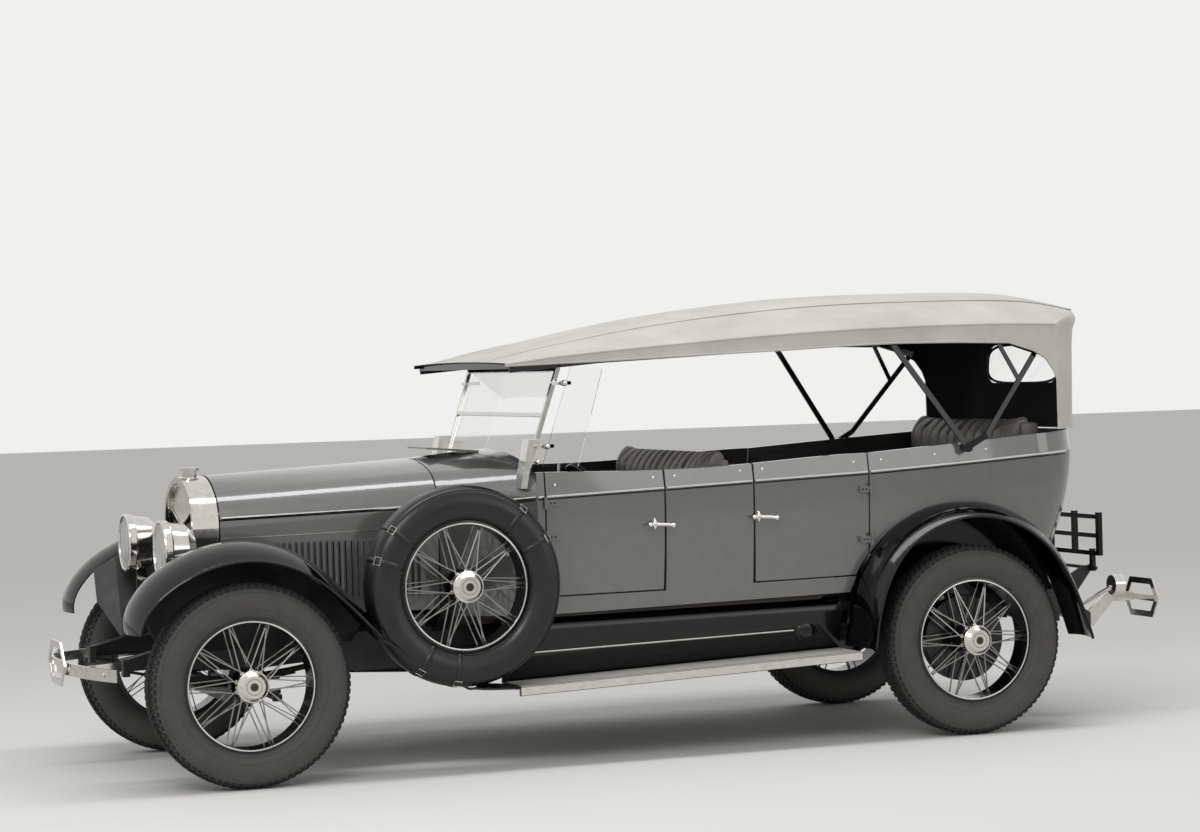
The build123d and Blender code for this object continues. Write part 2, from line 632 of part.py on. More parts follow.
# Running boards and splash aprons rise a little towards the rear
BOARD_X = (1200, 2862)
BOARD_TOP = (366, 425)
BOARD_Y = (600, 862)
BOARD_DEPTH = 39
APRON_TOP = (650, 664)
APRON_ROLL = 60
BRACKET_X = (1330, 2040, 2740)
BRACKET_WIDTH = 40
BRACKET_FOOT = 495
with BuildPart() as running_boards:
    for side, side_name in SIDES:
        for y_from, y_to, depth in ((BOARD_Y[0], BOARD_Y[1], 12), (BOARD_Y[1] - 14, BOARD_Y[1], BOARD_DEPTH)):
            with BuildSketch(side_plane(side * (y_from if side < 0 else y_to))):
                with BuildLine():
                    Polyline(
                        (BOARD_X[0], BOARD_TOP[0]), (BOARD_X[1], BOARD_TOP[1]),
                        (BOARD_X[1], BOARD_TOP[1] - depth), (BOARD_X[0], BOARD_TOP[0] - depth), close=True)
                make_face()
            extrude(amount=y_to - y_from)
    for side, side_name in SIDES:
        for x, low, top in zip(BOARD_X, BOARD_TOP, APRON_TOP):
            with BuildSketch(cross_plane(x)):
                with BuildLine():
                    outer = Line((side * 604, low), (side * 640, top - APRON_ROLL))
                    roll = TangentArc(outer @ 1, (side * 600, top), tangent=(0, 1))
                    back = Line(roll @ 1, (side * 560, top))
                    drop = Line(back @ 1, (side * 560, top - SHEET))
                    under = Line(drop @ 1, (side * 600, top - SHEET))
                    roll_in = TangentArc(
                        (side * (640 - SHEET), top - APRON_ROLL), under @ 1, tangent=(0, 1))
                    inner = Line(roll_in @ 0, (side * (604 - SHEET), low))
                    Line(inner @ 1, outer @ 0)
                make_face()
        loft(ruled=True)
    for x in BRACKET_X:
        share = (x - BOARD_X[0]) / (BOARD_X[1] - BOARD_X[0])
        under = BOARD_TOP[0] + share * (BOARD_TOP[1] - BOARD_TOP[0]) - 11
        with BuildSketch(cross_plane(x - BRACKET_WIDTH / 2)):
            with BuildLine():
                for side, side_name in SIDES:
                    Polyline(
                        (side * 372, BRACKET_FOOT), (side * 372, BRACKET_FOOT - 20), (side * 600, under - 12),
                        (side * 840, under - 12), (side * 840, under), (side * 606, under),
                        (side * 424, BRACKET_FOOT), close=True)
            make_face()
        extrude(amount=BRACKET_WIDTH)
    add(rail_form.part, mode=Mode.SUBTRACT)
save(running_boards, "running_boards")

# Cowl and hood. The cowl carries the firewall, the hood's hinge rod and the vent lid
COWL_LINE = tuple(zip(COWL_X, (COWL_FRONT, COWL_REAR)))
FIREWALL = 12
VENT_X = (1016, 1268)
VENT_HALF = 150
VENT_LIFT = 38
VENT_SHEET = 8
with BuildPart() as cowl_form:
    for x, sizes in COWL_LINE:
        with BuildSketch(cross_plane(x)):
            add(arch(sizes))
            make_face()
    loft()
with BuildPart() as cowl:
    add(cowl_form.part)
    for x, sizes in COWL_LINE:
        with BuildSketch(cross_plane(x)):
            add(arch(sizes, COWL_SHEET, 10))
            make_face()
    loft(mode=Mode.SUBTRACT)
    with BuildSketch(plan_plane(1340)):
        with Locations(((VENT_X[0] + VENT_X[1]) / 2 - 10, 0)):
            Rectangle(VENT_X[1] - VENT_X[0] - 60, 2 * VENT_HALF - 40)
    extrude(amount=100, mode=Mode.SUBTRACT)
    with BuildSketch(cross_plane(COWL_X[0] + 12)):
        add(arch(COWL_FRONT, COWL_SHEET - 1))
        make_face()
    extrude(amount=FIREWALL)
    with BuildSketch(cross_plane(0)):
        with Locations((0, HOOD_FRONT[6] - 5)):
            Circle(4)
    with BuildSketch(cross_plane(COWL_X[0] + 2)):
        with Locations((0, HOOD_REAR[6] - 5)):
            Circle(4)
    loft()
    with BuildSketch(side_plane(VENT_HALF)):
        with BuildLine():
            Polyline(
                (VENT_X[0], 1374 + VENT_LIFT), (VENT_X[1] - 12, 1388), (VENT_X[1], 1380), (VENT_X[1], 1398),
                (VENT_X[0], 1374 + VENT_LIFT + VENT_SHEET), close=True)
        make_face()
    extrude(amount=2 * VENT_HALF)

with BuildPart() as hood_form:
    for x, sizes in zip(HOOD_X, (HOOD_FRONT, HOOD_REAR)):
        with BuildSketch(cross_plane(x)):
            add(arch(sizes))
            make_face()
    loft()
    for x, sizes in zip(HOOD_X, (HOOD_FRONT, HOOD_REAR)):
        with BuildSketch(cross_plane(x)):
            add(arch(sizes, HOOD_SHEET, 10))
            make_face()
    loft(mode=Mode.SUBTRACT)

HOOD_HINGE_Z = (1133, 1160)
HOOD_SEAM = 6
HOOD_RIDGE = 6
LOUVRES = 24
LOUVRE_X = 244
LOUVRE_PITCH = 27
LOUVRE_LOW = 764
LOUVRE_TALL = 264
LOUVRE_LENGTH = 17
LOUVRE_PROUD = 8
HOOD_FLARE = (HOOD_REAR[2] - HOOD_FRONT[2]) / (HOOD_X[1] - HOOD_X[0])
for side, side_name in SIDES:
    with BuildPart() as hood_top:
        add(hood_form.part)
        with BuildSketch(side_plane(-HOOD_RIDGE if side < 0 else 600)):
            with BuildLine():
                Polyline(
                    (0, HOOD_HINGE_Z[0] + HOOD_SEAM / 2), (980, HOOD_HINGE_Z[1] + HOOD_SEAM / 2),
                    (980, 1500), (0, 1500), close=True)
            make_face()
        extrude(amount=600 - HOOD_RIDGE, mode=Mode.INTERSECT)
    save(hood_top, f"hood_top_{side_name}")
    with BuildPart() as hood_side:
        add(hood_form.part)
        with BuildSketch(side_plane(0 if side < 0 else 600)):
            with BuildLine():
                Polyline(
                    (0, HOOD_HINGE_Z[0] - HOOD_SEAM / 2), (980, HOOD_HINGE_Z[1] - HOOD_SEAM / 2),
                    (980, 650), (0, 650), close=True)
            make_face()
        extrude(amount=600, mode=Mode.INTERSECT)
        with BuildSketch(plan_plane(LOUVRE_LOW)):
            for i in range(LOUVRES):
                front = LOUVRE_X + i * LOUVRE_PITCH
                back = front + LOUVRE_LENGTH
                front_y, back_y = (HOOD_FRONT[2] + HOOD_FLARE * (x - HOOD_X[0]) for x in (front, back))
                with BuildLine():
                    Polyline(
                        (front, side * (front_y - 3)), (back, side * (back_y - 3)),
                        (back, side * (back_y + LOUVRE_PROUD)), close=True)
                make_face()
        extrude(amount=LOUVRE_TALL)
    save(hood_side, f"hood_side_{side_name}")

# Body side walls: X, half width and height at the foot, at the belt and at the top edge
SIDE_WALL = (
    (1356, 676, 664, 712, 1194, 702, 1304),
    (1680, 694, 670, 731, 1205, 718, 1298),
    (2000, 700, 676, 740, 1215, 726, 1294),
    (2500, 702, 684, 744, 1232, 728, 1312),
    (2975, 700, 692, 742, 1247, 726, 1332),
)
# Rear body in level sections: height at the front and at the back, half width at the front and half-way,
# X and Y where the corner starts, X and Y of the corner's middle, X of the back
REAR_BODY = (
    (692, 735, 700, 678, 3800, 626, 3930, 560, 3972),
    (942, 992, 729, 710, 3870, 654, 4046, 578, 4104),
    (1247, 1306, 742, 726, 3900, 668, 4100, 590, 4160),
    (1332, 1405, 726, 710, 3892, 652, 4090, 578, 4150),
)
REAR_BODY_X = 2975
BACK_HALF = 440


def wall_outline(foot_in, foot, belt, top_in, top, wall=BODY_WALL):
    """Body panel in section: local x points outward from the belt and local y is the height."""
    with BuildLine() as outline:
        skin = ThreePointArc((foot_in, foot), (foot_in * 0.3, foot + (belt - foot) * 0.45), (0, belt))
        upper = Line(skin @ 1, (top_in, top))
        ledge = Line(upper @ 1, (top_in - wall, top))
        back = Line(ledge @ 1, (-wall, belt))
        inner = ThreePointArc(
            back @ 1, (foot_in * 0.3 - wall, foot + (belt - foot) * 0.45), (foot_in - wall, foot))
        Line(inner @ 1, skin @ 0)
    return outline


def wall_plane(x, y, turn, side):
    """Upright plane through the belt point, its local x turned from straight out towards the rear."""
    out = Vector(sin(radians(turn)), side * cos(radians(turn)), 0)
    return Plane(origin=(FRONT_X + x, side * y, 0), x_dir=out, z_dir=out.cross(Vector(0, 0, 1)))


def side_wall(side):
    with BuildPart() as wall:
        for x, low_y, low_z, belt_y, belt_z, top_y, top_z in SIDE_WALL:
            with BuildSketch(wall_plane(x, belt_y, 0, side)):
                add(wall_outline(low_y - belt_y, low_z, belt_z, top_y - belt_y, top_z))
                make_face()
        loft()
    return wall


def rear_body(rows, inset):
    """Solid between sections of the rear body, each set in all round by the wall or not at all."""
    start = REAR_BODY_X - BODY_WALL - 6
    with BuildPart() as form:
        for front_z, back_z, half, middle, corner_x, corner_y, turn_x, turn_y, back in rows:
            along = Vector(back - REAR_BODY_X, 0, back_z - front_z)
            level = Plane(origin=(FRONT_X, 0, front_z), x_dir=along, z_dir=Vector(-along.Z, 0, along.X))
            with BuildSketch(level.offset(-REAR_BODY_X * along.Z / along.length)):
                with BuildLine():
                    for side, side_name in SIDES:
                        flank = ThreePointArc(
                            (start + inset, side * (half - inset)), (3450, side * (middle - inset)),
                            (corner_x - inset * 0.2, side * (corner_y - inset)))
                        ThreePointArc(
                            flank @ 1, (turn_x - inset * 0.74, side * (turn_y - inset * 0.68)),
                            (back - inset, side * (BACK_HALF - inset * 0.2)))
                    Line((start + inset, inset - half), (start + inset, half - inset))
                    Line((back - inset, inset * 0.2 - BACK_HALF), (back - inset, BACK_HALF - inset * 0.2))
                make_face()
        loft(ruled=len(rows) == 2)
    return form


# Door openings in the side view: front edge, rear edge, lower edge at each end
FRONT_DOOR = (1390, 1962, 742, 746)
REAR_DOOR = (2388, 2975, 758, 764)


def door_outline(door, margin):
    front, rear, low_front, low_rear = door
    with BuildLine() as outline:
        Polyline(
            (front + margin, low_front + margin), (rear - margin, low_rear + margin),
            (rear - margin, 1500), (front + margin, 1500), close=True)
    return outline


DOOR_BEVEL = 16
# Door pins stand outside the panels: X, Y, the way to the door and the heights of its two knuckles
FRONT_PIN = (1390, 728, 1, (1014, 1166))
REAR_PIN = (2975, 757, -1, (934, 1166))
KNUCKLE_RADIUS = 8
KNUCKLE_TALL = 56
STRAP_LENGTH = 52
with BuildPart() as body_sides:
    for side, side_name in SIDES:
        add(side_wall(side).part)
    for door in (FRONT_DOOR, REAR_DOOR):
        with BuildSketch(side_plane(900)):
            add(door_outline(door, 0))
            make_face()
        extrude(amount=1800, mode=Mode.SUBTRACT)
    with BuildSketch(side_plane(900)):
        with Locations(FENDER_ARC[:2]):
            Circle(FENDER_ARC[2])
    extrude(amount=1800, mode=Mode.SUBTRACT)
save(body_sides, "body_sides")

# Each door's closing edge is bevelled, so that its inner corner clears the post as it swings
for side, side_name in SIDES:
    for door, door_name, closing, inward, pin in (
            (FRONT_DOOR, "front", FRONT_DOOR[1], -1, FRONT_PIN),
            (REAR_DOOR, "rear", REAR_DOOR[0], 1, REAR_PIN)):
        with BuildPart() as door_panel:
            add(side_wall(side).part)
            with BuildSketch(side_plane(side * 600 if side < 0 else 800)):
                add(door_outline(door, DOOR_GAP))
                make_face()
                with Locations(FENDER_ARC[:2]):
                    Circle(FENDER_ARC[2] + DOOR_GAP, mode=Mode.SUBTRACT)
            extrude(amount=200, mode=Mode.INTERSECT)
            with BuildSketch(plan_plane(700)):
                with BuildLine():
                    edge = closing + inward * DOOR_GAP
                    Polyline(
                        (edge, side * 750), (edge + inward * DOOR_BEVEL, side * 640),
                        (edge - inward, side * 640), (edge - inward, side * 750), close=True)
                make_face()
            extrude(amount=700, mode=Mode.SUBTRACT)
            pin_x, pin_y, way, heights = pin
            for z in heights:
                with BuildSketch(plan_plane(z)):
                    with Locations((pin_x, side * pin_y)):
                        Circle(KNUCKLE_RADIUS)
                extrude(amount=KNUCKLE_TALL / 2, both=True)
                with BuildSketch(plan_plane(z)):
                    with Locations((pin_x + way * (STRAP_LENGTH / 2 + 4), side * (pin_y - 21))):
                        Rectangle(STRAP_LENGTH, 38)
                extrude(amount=15, both=True)
        save(door_panel, f"door_{door_name}_{side_name}")

with BuildPart() as tonneau:
    for rows in (REAR_BODY[:3], REAR_BODY[2:]):
        add(rear_body(rows, 0).part)
    for rows in (REAR_BODY[:3], REAR_BODY[2:]):
        add(rear_body(rows, BODY_WALL).part, mode=Mode.SUBTRACT)
    with BuildSketch(cross_plane(REAR_BODY_X)):
        with Locations((0, 1000)):
            Rectangle(2000, 1000)
    extrude(amount=-200, mode=Mode.SUBTRACT)
    for side, side_name in SIDES:
        with BuildSketch(side_plane(-HOUSE_Y if side < 0 else 900)):
            with Locations(FENDER_ARC[:2]):
                Circle(FENDER_ARC[2])
        extrude(amount=900 - HOUSE_Y, mode=Mode.SUBTRACT)
    add(fenders_rear.part, mode=Mode.SUBTRACT)
save(tonneau, "tonneau")

# Floor of boards on the frame, rising in front of the rear seat, with the partition and wheelhouse walls
FLOOR_LINE = ((997, 648, 664), (2740, 664, 694), (2960, 826, 850), (3900, 848, 872))
FLOOR_HALF = 672
REAR_FLOOR_HALF = 600
FLOOR_CORE = 556
PARTITION_X = 2350
with BuildPart() as floor:
    with BuildSketch(side_plane(FLOOR_HALF)):
        with BuildLine():
            underside = [(x, low) for x, low, top in FLOOR_LINE]
            Polyline(*underside, *[(x, top) for x, low, top in reversed(FLOOR_LINE)], close=True)
        make_face()
    extrude(amount=2 * FLOOR_HALF)
    with BuildSketch(side_plane(FLOOR_CORE)):
        with BuildLine():
            Polyline((997, 655), (2740, 680), (2750, 672), (1420, 638), (997, 625), close=True)
        make_face()
    extrude(amount=2 * FLOOR_CORE)
    with BuildSketch(plan_plane(600)):
        with BuildLine():
            half = [
                (997, 466), (1356, FLOOR_HALF), (2800, FLOOR_HALF), (2870, REAR_FLOOR_HALF),
                (3910, REAR_FLOOR_HALF)]
            Polyline(*half, *[(x, -y) for x, y in reversed(half)], close=True)
        make_face()
    extrude(amount=400, mode=Mode.INTERSECT)
    with BuildSketch(side_plane(REAR_FLOOR_HALF - 40)):
        with BuildLine():
            Polyline((3890, 872), (3912, 872), (3962, 690), (3940, 690), (3890, 850), close=True)
        make_face()
    extrude(amount=2 * REAR_FLOOR_HALF - 80)
    with BuildSketch(cross_plane(WHEELBASE - 60)):
        for side, side_name in SIDES:
            with Locations((side * SPRING_Y, 828)):
                Rectangle(64, 60)
    extrude(amount=120)
    with BuildSketch(cross_plane(PARTITION_X)):
        with BuildLine():
            Polyline(
                (-664, 680), (664, 680), (692, 1200), (680, 1300), (-680, 1300), (-692, 1200), close=True)
        make_face()
    extrude(amount=22)
    for other in (running_boards, body_sides, tonneau, cowl, engine_block, rail_form, fenders_rear):
        add(other.part, mode=Mode.SUBTRACT)
save(floor, "floor")

SEAT_HALF = 640
REAR_SEAT_HALF = 590
with BuildPart() as seats:
    with BuildSketch(side_plane(SEAT_HALF)):
        with BuildLine():
            Polyline(
                (1880, 670), (1880, 930), (2180, 900), (2250, 1390), (PARTITION_X, 1390),
                (PARTITION_X, 670), close=True)
        make_face()
    extrude(amount=2 * SEAT_HALF)
    with BuildSketch(side_plane(REAR_SEAT_HALF)):
        with BuildLine():
            Polyline(
                (3230, 840), (3230, 1090), (3760, 1040), (3860, 1490), (3960, 1490), (3940, 850), close=True)
        make_face()
    extrude(amount=2 * REAR_SEAT_HALF)
    for other in (floor, tonneau, fenders_rear):
        add(other.part, mode=Mode.SUBTRACT)
save(seats, "seats")

# Steering: box on the left rail, column through the firewall, and the wheel on the column's shaft
COLUMN_Y = -387
WHEEL_CENTRE = (1740, 1140)
COLUMN_FOOT = (850, 650)
COLUMN_RADIUS = 22
SHAFT_RADIUS = 10
COLUMN_SLOPE = atan2(WHEEL_CENTRE[1] - COLUMN_FOOT[1], WHEEL_CENTRE[0] - COLUMN_FOOT[0])
COLUMN_DIR = Vector(cos(COLUMN_SLOPE), 0, sin(COLUMN_SLOPE))
COLUMN_LENGTH = hypot(WHEEL_CENTRE[0] - COLUMN_FOOT[0], WHEEL_CENTRE[1] - COLUMN_FOOT[1])
WHEEL_UP = Vector(-COLUMN_DIR.Z, 0, COLUMN_DIR.X)
STEER_RADIUS = 215
STEER_RIM = 13
HUB_DEPTH = 40
foot = Vector(FRONT_X + COLUMN_FOOT[0], COLUMN_Y, COLUMN_FOOT[1])
hub = foot + COLUMN_DIR * COLUMN_LENGTH
with BuildPart() as steering_column:
    with BuildSketch(Plane(origin=foot, z_dir=COLUMN_DIR)):
        Circle(COLUMN_RADIUS)
    extrude(amount=COLUMN_LENGTH - HUB_DEPTH)
    with BuildSketch(Plane(origin=foot, z_dir=COLUMN_DIR)):
        Circle(SHAFT_RADIUS)
    extrude(amount=COLUMN_LENGTH - 6)
    with BuildSketch(plan_plane(600)):
        with Locations((COLUMN_FOOT[0], COLUMN_Y)):
            Rectangle(110, 60)
    extrude(amount=80)
    add(rail_form.part, mode=Mode.SUBTRACT)
    add(floor.part, mode=Mode.SUBTRACT)
save(steering_column, "steering_column")
with BuildPart() as steering_wheel:
    with BuildSketch(Plane(origin=hub, x_dir=(0, 1, 0), z_dir=WHEEL_UP)):
        with Locations((STEER_RADIUS - STEER_RIM, 0)):
            Circle(STEER_RIM)
    revolve(axis=Axis(hub, COLUMN_DIR))
    with BuildSketch(Plane(origin=hub - COLUMN_DIR * (HUB_DEPTH - 5), z_dir=COLUMN_DIR)):
        Circle(34)
    extrude(amount=HUB_DEPTH + 5)
    for i in range(4):
        turn = radians(45 + 90 * i)
        outward = Vector(0, cos(turn), 0) + WHEEL_UP * sin(turn)
        with BuildSketch(Plane(origin=hub - COLUMN_DIR * 4, z_dir=outward)):
            Rectangle(22, 12)
    extrude(amount=STEER_RADIUS - STEER_RIM)
    with BuildSketch(Plane(origin=hub - COLUMN_DIR * HUB_DEPTH, z_dir=COLUMN_DIR)):
        Circle(SHAFT_RADIUS + 0.05)
    extrude(amount=HUB_DEPTH - 5, mode=Mode.SUBTRACT)
save(steering_wheel, "steering_wheel")

with BuildPart() as cowl_cut:
    add(cowl.part)
    add(steering_column.part, mode=Mode.SUBTRACT)
save(cowl_cut, "cowl")

# Windshield: frame, glass and wind wings, leaning back
SHIELD_FOOT = (1346, 1315)
SHIELD_LEAN = 17.9
SHIELD_HEIGHT = 480
SHIELD_HALF = (628, 655)
SHIELD_BAR = 20
MID_BAR = 255
MID_HALF = 8
shield_up = Vector(sin(radians(SHIELD_LEAN)), 0, cos(radians(SHIELD_LEAN)))
shield_origin = Vector(FRONT_X + SHIELD_FOOT[0], 0, SHIELD_FOOT[1])
shield_plane = Plane(origin=shield_origin, x_dir=(0, 1, 0), z_dir=Vector(0, 1, 0).cross(shield_up))
PANES = ((0, MID_BAR - MID_HALF), (MID_BAR + MID_HALF, SHIELD_HEIGHT - SHIELD_BAR))


def pane(low, high, margin):
    """Trapezoid across the windshield between two heights, in from the frame's outer edge."""
    spread = (SHIELD_HALF[1] - SHIELD_HALF[0]) / SHIELD_HEIGHT
    halves = [SHIELD_HALF[0] + spread * z - margin for z in (low, high)]
    with BuildLine() as outline:
        Polyline((-halves[0], low), (halves[0], low), (halves[1], high), (-halves[1], high), close=True)
    return outline


WING_Y = 690
with BuildPart() as windshield_frame:
    with BuildSketch(shield_plane):
        add(pane(-10, SHIELD_HEIGHT, 0))
        make_face()
    extrude(amount=SHIELD_BAR / 2, both=True)
    for low, high in PANES:
        with BuildSketch(shield_plane):
            add(pane(low, high, SHIELD_BAR))
            make_face()
        extrude(amount=SHIELD_BAR, both=True, mode=Mode.SUBTRACT)
    for side, side_name in SIDES:
        with BuildSketch(side_plane(716 if side > 0 else -628)):
            with BuildLine():
                Polyline(
                    (1278, 1235), (1308, 1235), (1345, 1430), (1392, 1430), (1392, 1452), (1322, 1452),
                    close=True)
            make_face()
        extrude(amount=88)
        with BuildSketch(side_plane((WING_Y - GLASS / 2) if side > 0 else -630)):
            for x, z in ((1410, 1420), (1500, 1700)):
                with Locations((x, z)):
                    Rectangle(80, 16)
        extrude(amount=WING_Y - GLASS / 2 - 630)
    add(cowl_form.part, mode=Mode.SUBTRACT)
    add(cowl.part, mode=Mode.SUBTRACT)
save(windshield_frame, "windshield_frame")

with BuildPart() as windshield_glass:
    for low, high in PANES:
        with BuildSketch(shield_plane):
            add(pane(low, high, SHIELD_BAR))
            make_face()
        extrude(amount=GLASS / 2, both=True)
    for side, side_name in SIDES:
        with BuildSketch(side_plane(side * WING_Y + GLASS / 2)):
            with BuildLine():
                Polyline((1392, 1335), (1560, 1322), (1690, 1760), (1540, 1775), close=True)
            make_face()
        extrude(amount=GLASS)
    add(cowl_form.part, mode=Mode.SUBTRACT)
    add(cowl.part, mode=Mode.SUBTRACT)
    add(windshield_frame.part, mode=Mode.SUBTRACT)
save(windshield_glass, "windshield_glass")

# Cloth top: X, crown height, height of the edge between roof and side, half width
TOP = (
    (1225, 1806, 1796, 704), (1500, 1876, 1826, 716), (2080, 1991, 1868, 726), (2780, 2066, 1906, 726),
    (3450, 2084, 1920, 722), (3980, 2072, 1912, 706), (4310, 2010, 1876, 690),
)
CLOTH = 12
TOP_LOW = 1408
# Lower edge of the side cloth and front edge of the quarter, then the foot of the rear curtain
TOP_EDGE = ((1225, 1780), (1680, 1790), (2530, 1815), (3150, 1836), (3730, 1822), (3925, 1745), (3985, 1640),
            (3988, TOP_LOW))
TOP_REAR = ((4152, TOP_LOW), (4192, 1880), (4282, 1945), (4276, 1990), (4200, 2060), (4200, 2200))


def top_solid(inset):
    """The volume inside the cloth, pulled in all round by the inset, and open past its lower edge."""
    with BuildPart() as solid:
        for x, crown, edge, half in TOP:
            with BuildSketch(cross_plane(x)):
                with BuildLine():
                    out = half - inset
                    roof = ThreePointArc((-out, edge - inset), (0, crown - inset), (out, edge - inset))
                    Polyline(roof @ 1, (out, 1300), (-out, 1300), roof @ 0)
                make_face()
        loft(ruled=True)
        with BuildSketch(side_plane(900)):
            with BuildLine():
                low = [(x - inset, z - inset) for x, z in TOP_EDGE]
                rear = [(x - inset, z) for x, z in TOP_REAR]
                front = low[0][0] + 2 * inset
                Polyline((front, 2200), (front, low[0][1]), *low[1:], (rear[0][0], low[-1][1]), *rear[1:],
                         close=True)
            make_face()
        extrude(amount=1800, mode=Mode.INTERSECT)
        with BuildSketch(plan_plane(1200)):
            with BuildLine():
                half = [(1200, 740), (3900, 740 - inset), (4060, 640 - inset), (4200 - inset, 500 - inset),
                        (4300 - inset, 400 - inset)]
                Polyline(*half, *[(x, -y) for x, y in reversed(half)], close=True)
            make_face()
        extrude(amount=1000, mode=Mode.INTERSECT)
    return solid


with BuildPart() as top_cover:
    add(top_solid(0).part)
    add(top_solid(CLOTH).part, mode=Mode.SUBTRACT)
    with BuildSketch(cross_plane(4100)):
        with Locations((0, 1720)):
            RectangleRounded(760, 190, 40)
    extrude(amount=200, mode=Mode.SUBTRACT)
save(top_cover, "top_cover")


def bar(start, end, width, thickness):
    """Straight flat bar between two points given from the front axle."""
    start, end = Vector(FRONT_X, 0, 0) + Vector(*start), Vector(FRONT_X, 0, 0) + Vector(*end)
    along = end - start
    with BuildPart() as strip:
        with BuildSketch(Plane(origin=start, x_dir=(0, 1, 0), z_dir=along)):
            Rectangle(thickness, width)
        extrude(amount=along.length)
    return strip


# Top irons on each side: start and end of each bar at the left side, then the bows across
IRON_Y = 752
RAIL_Y = 684
PIVOT = (3480, 1340)
IRONS = (
    ((3480, IRON_Y, 1340), (3135, RAIL_Y, 1836), 26, 10),
    ((3480, IRON_Y, 1340), (3580, IRON_Y, 1394), 26, 10),
    ((3572, IRON_Y, 1385), (3880, RAIL_Y - 4, 1770), 24, 10),
    ((3680, RAIL_Y, 1840), (3780, RAIL_Y + 20, 1652), 20, 8),
)
SIDE_RAIL = ((1250, 1768), (1680, 1800), (2530, 1832), (3150, 1852), (3700, 1846), (3900, 1780))
BOWS = ((1262, 1765), (1495, 1772), (2440, 1830), (3140, 1850), (3700, 1840))
BOW_WIDTH = 24
BOW_DEPTH = 26
with BuildPart() as bows:
    for x, low in BOWS:
        with BuildSketch(cross_plane(x - BOW_WIDTH / 2)):
            with Locations((0, low + 200)):
                Rectangle(1600, 400)
        extrude(amount=BOW_WIDTH)
    add(top_solid(CLOTH - 2).part, mode=Mode.INTERSECT)
    add(top_solid(CLOTH + BOW_DEPTH).part, mode=Mode.SUBTRACT)
with BuildPart() as top_frame:
    add(bows.part)
    for side, side_name in SIDES:
        for (x, y, z), (end_x, end_y, end_z), width, thickness in IRONS:
            add(bar((x, side * y, z), (end_x, side * end_y, end_z), width, thickness).part)
        for start, end in zip(SIDE_RAIL, SIDE_RAIL[1:]):
            add(bar((start[0], side * RAIL_Y, start[1]), (end[0], side * RAIL_Y, end[1]), 30, 16).part)
        with BuildSketch(side_plane(side * 730 + 32)):
            with Locations(PIVOT):
                Circle(22)
        extrude(amount=64)
    for other in (top_cover, tonneau, windshield_frame, windshield_glass):
        add(other.part, mode=Mode.SUBTRACT)
save(top_frame, "top_frame")

# Bumpers: flat bars with hexagonal loops, on arms from the frame's horns
STRAP = 8
LOOP_STRAP = 30


def loop_outline(y, z, half_width, half_height, slope):
    """Hexagon with points at its two sides."""
    with BuildLine() as outline:
        flat = half_width - slope
        Polyline(
            (y - half_width, z), (y - flat, z + half_height), (y + flat, z + half_height),
            (y + half_width, z), (y + flat, z - half_height), (y - flat, z - half_height), close=True)
    return outline


# X of the loop's outer face, way to its other face, Y and Z of the middle, half width, half height, slope
LOOPS = (
    (-FRONT_OVERHANG, 1, 0, 521, 205, 98, 95),
    (WHEELBASE + REAR_OVERHANG, -1, -455, 565, 165, 95, 60),
    (WHEELBASE + REAR_OVERHANG, -1, 455, 565, 165, 95, 60),
)
STRIP_Z = 505
STRIP_TALL = 55
ARM_THICK = 14
with BuildPart() as bumpers:
    for x, way, y, z, half_width, half_height, slope in LOOPS:
        with BuildSketch(cross_plane(x)):
            add(loop_outline(y, z, half_width, half_height, slope))
            make_face()
            offset(amount=-LOOP_STRAP, kind=Kind.INTERSECTION, mode=Mode.SUBTRACT)
        extrude(amount=way * STRAP)
        with BuildSketch(cross_plane(x + way * STRAP)):
            with Locations((y, z)):
                Rectangle(2 * half_width - 20, LOOP_STRAP)
        extrude(amount=way * STRAP)
    with BuildSketch(plan_plane(STRIP_Z - STRIP_TALL / 2)):
        with BuildLine():
            front = ThreePointArc((-548, -660), (-682, 0), (-548, 660))
            back = ThreePointArc((-542, -655), (-674, 0), (-542, 655))
            Line(front @ 0, back @ 0)
            Line(front @ 1, back @ 1)
        make_face()
    extrude(amount=STRIP_TALL)
    for side, side_name in SIDES:
        with BuildSketch(side_plane(side * SPRING_Y + ARM_THICK / 2)):
            with BuildLine():
                Polyline((-640, 485), (-480, 500), (-440, 500), (-440, 545), (-640, 530), close=True)
            make_face()
            with BuildLine():
                Polyline(
                    (4290, 430), (4320, 430), (4430, 545), (4548, 545), (4548, 585), (4410, 600), (4290, 500),
                    close=True)
            make_face()
        extrude(amount=ARM_THICK)
    add(chassis_frame.part, mode=Mode.SUBTRACT)
save(bumpers, "bumpers")

# Luggage rack, folded up behind the body on its hinge
RACK_HALF = 500
RACK_TOP = 990
RACK_BAR = 22
RACK_SLATS = 5
with BuildPart() as luggage_rack:
    with BuildSketch(cross_plane(RACK_HINGE[0] - RACK_BAR / 2)):
        for z in (RACK_HINGE[1] + 74, RACK_HINGE[1] + 160, RACK_TOP - RACK_BAR):
            with Locations((0, z)):
                Rectangle(2 * RACK_HALF, RACK_BAR)
        with Locations((0, (RACK_HINGE[1] + 64 + RACK_TOP) / 2)):
            with GridLocations(2 * (RACK_HALF - 15) / (RACK_SLATS - 1), 0, RACK_SLATS, 1):
                Rectangle(30, RACK_TOP - RACK_HINGE[1] - 64)
        for side, side_name in SIDES:
            with Locations((side * (SPRING_Y + 28), RACK_HINGE[1] + 40)):
                Rectangle(24, 110)
    extrude(amount=RACK_BAR)
    with BuildSketch(side_plane(SPRING_Y + 60)):
        with Locations(RACK_HINGE):
            Circle(RACK_ROD)
    extrude(amount=2 * SPRING_Y + 120)
save(luggage_rack, "luggage_rack")

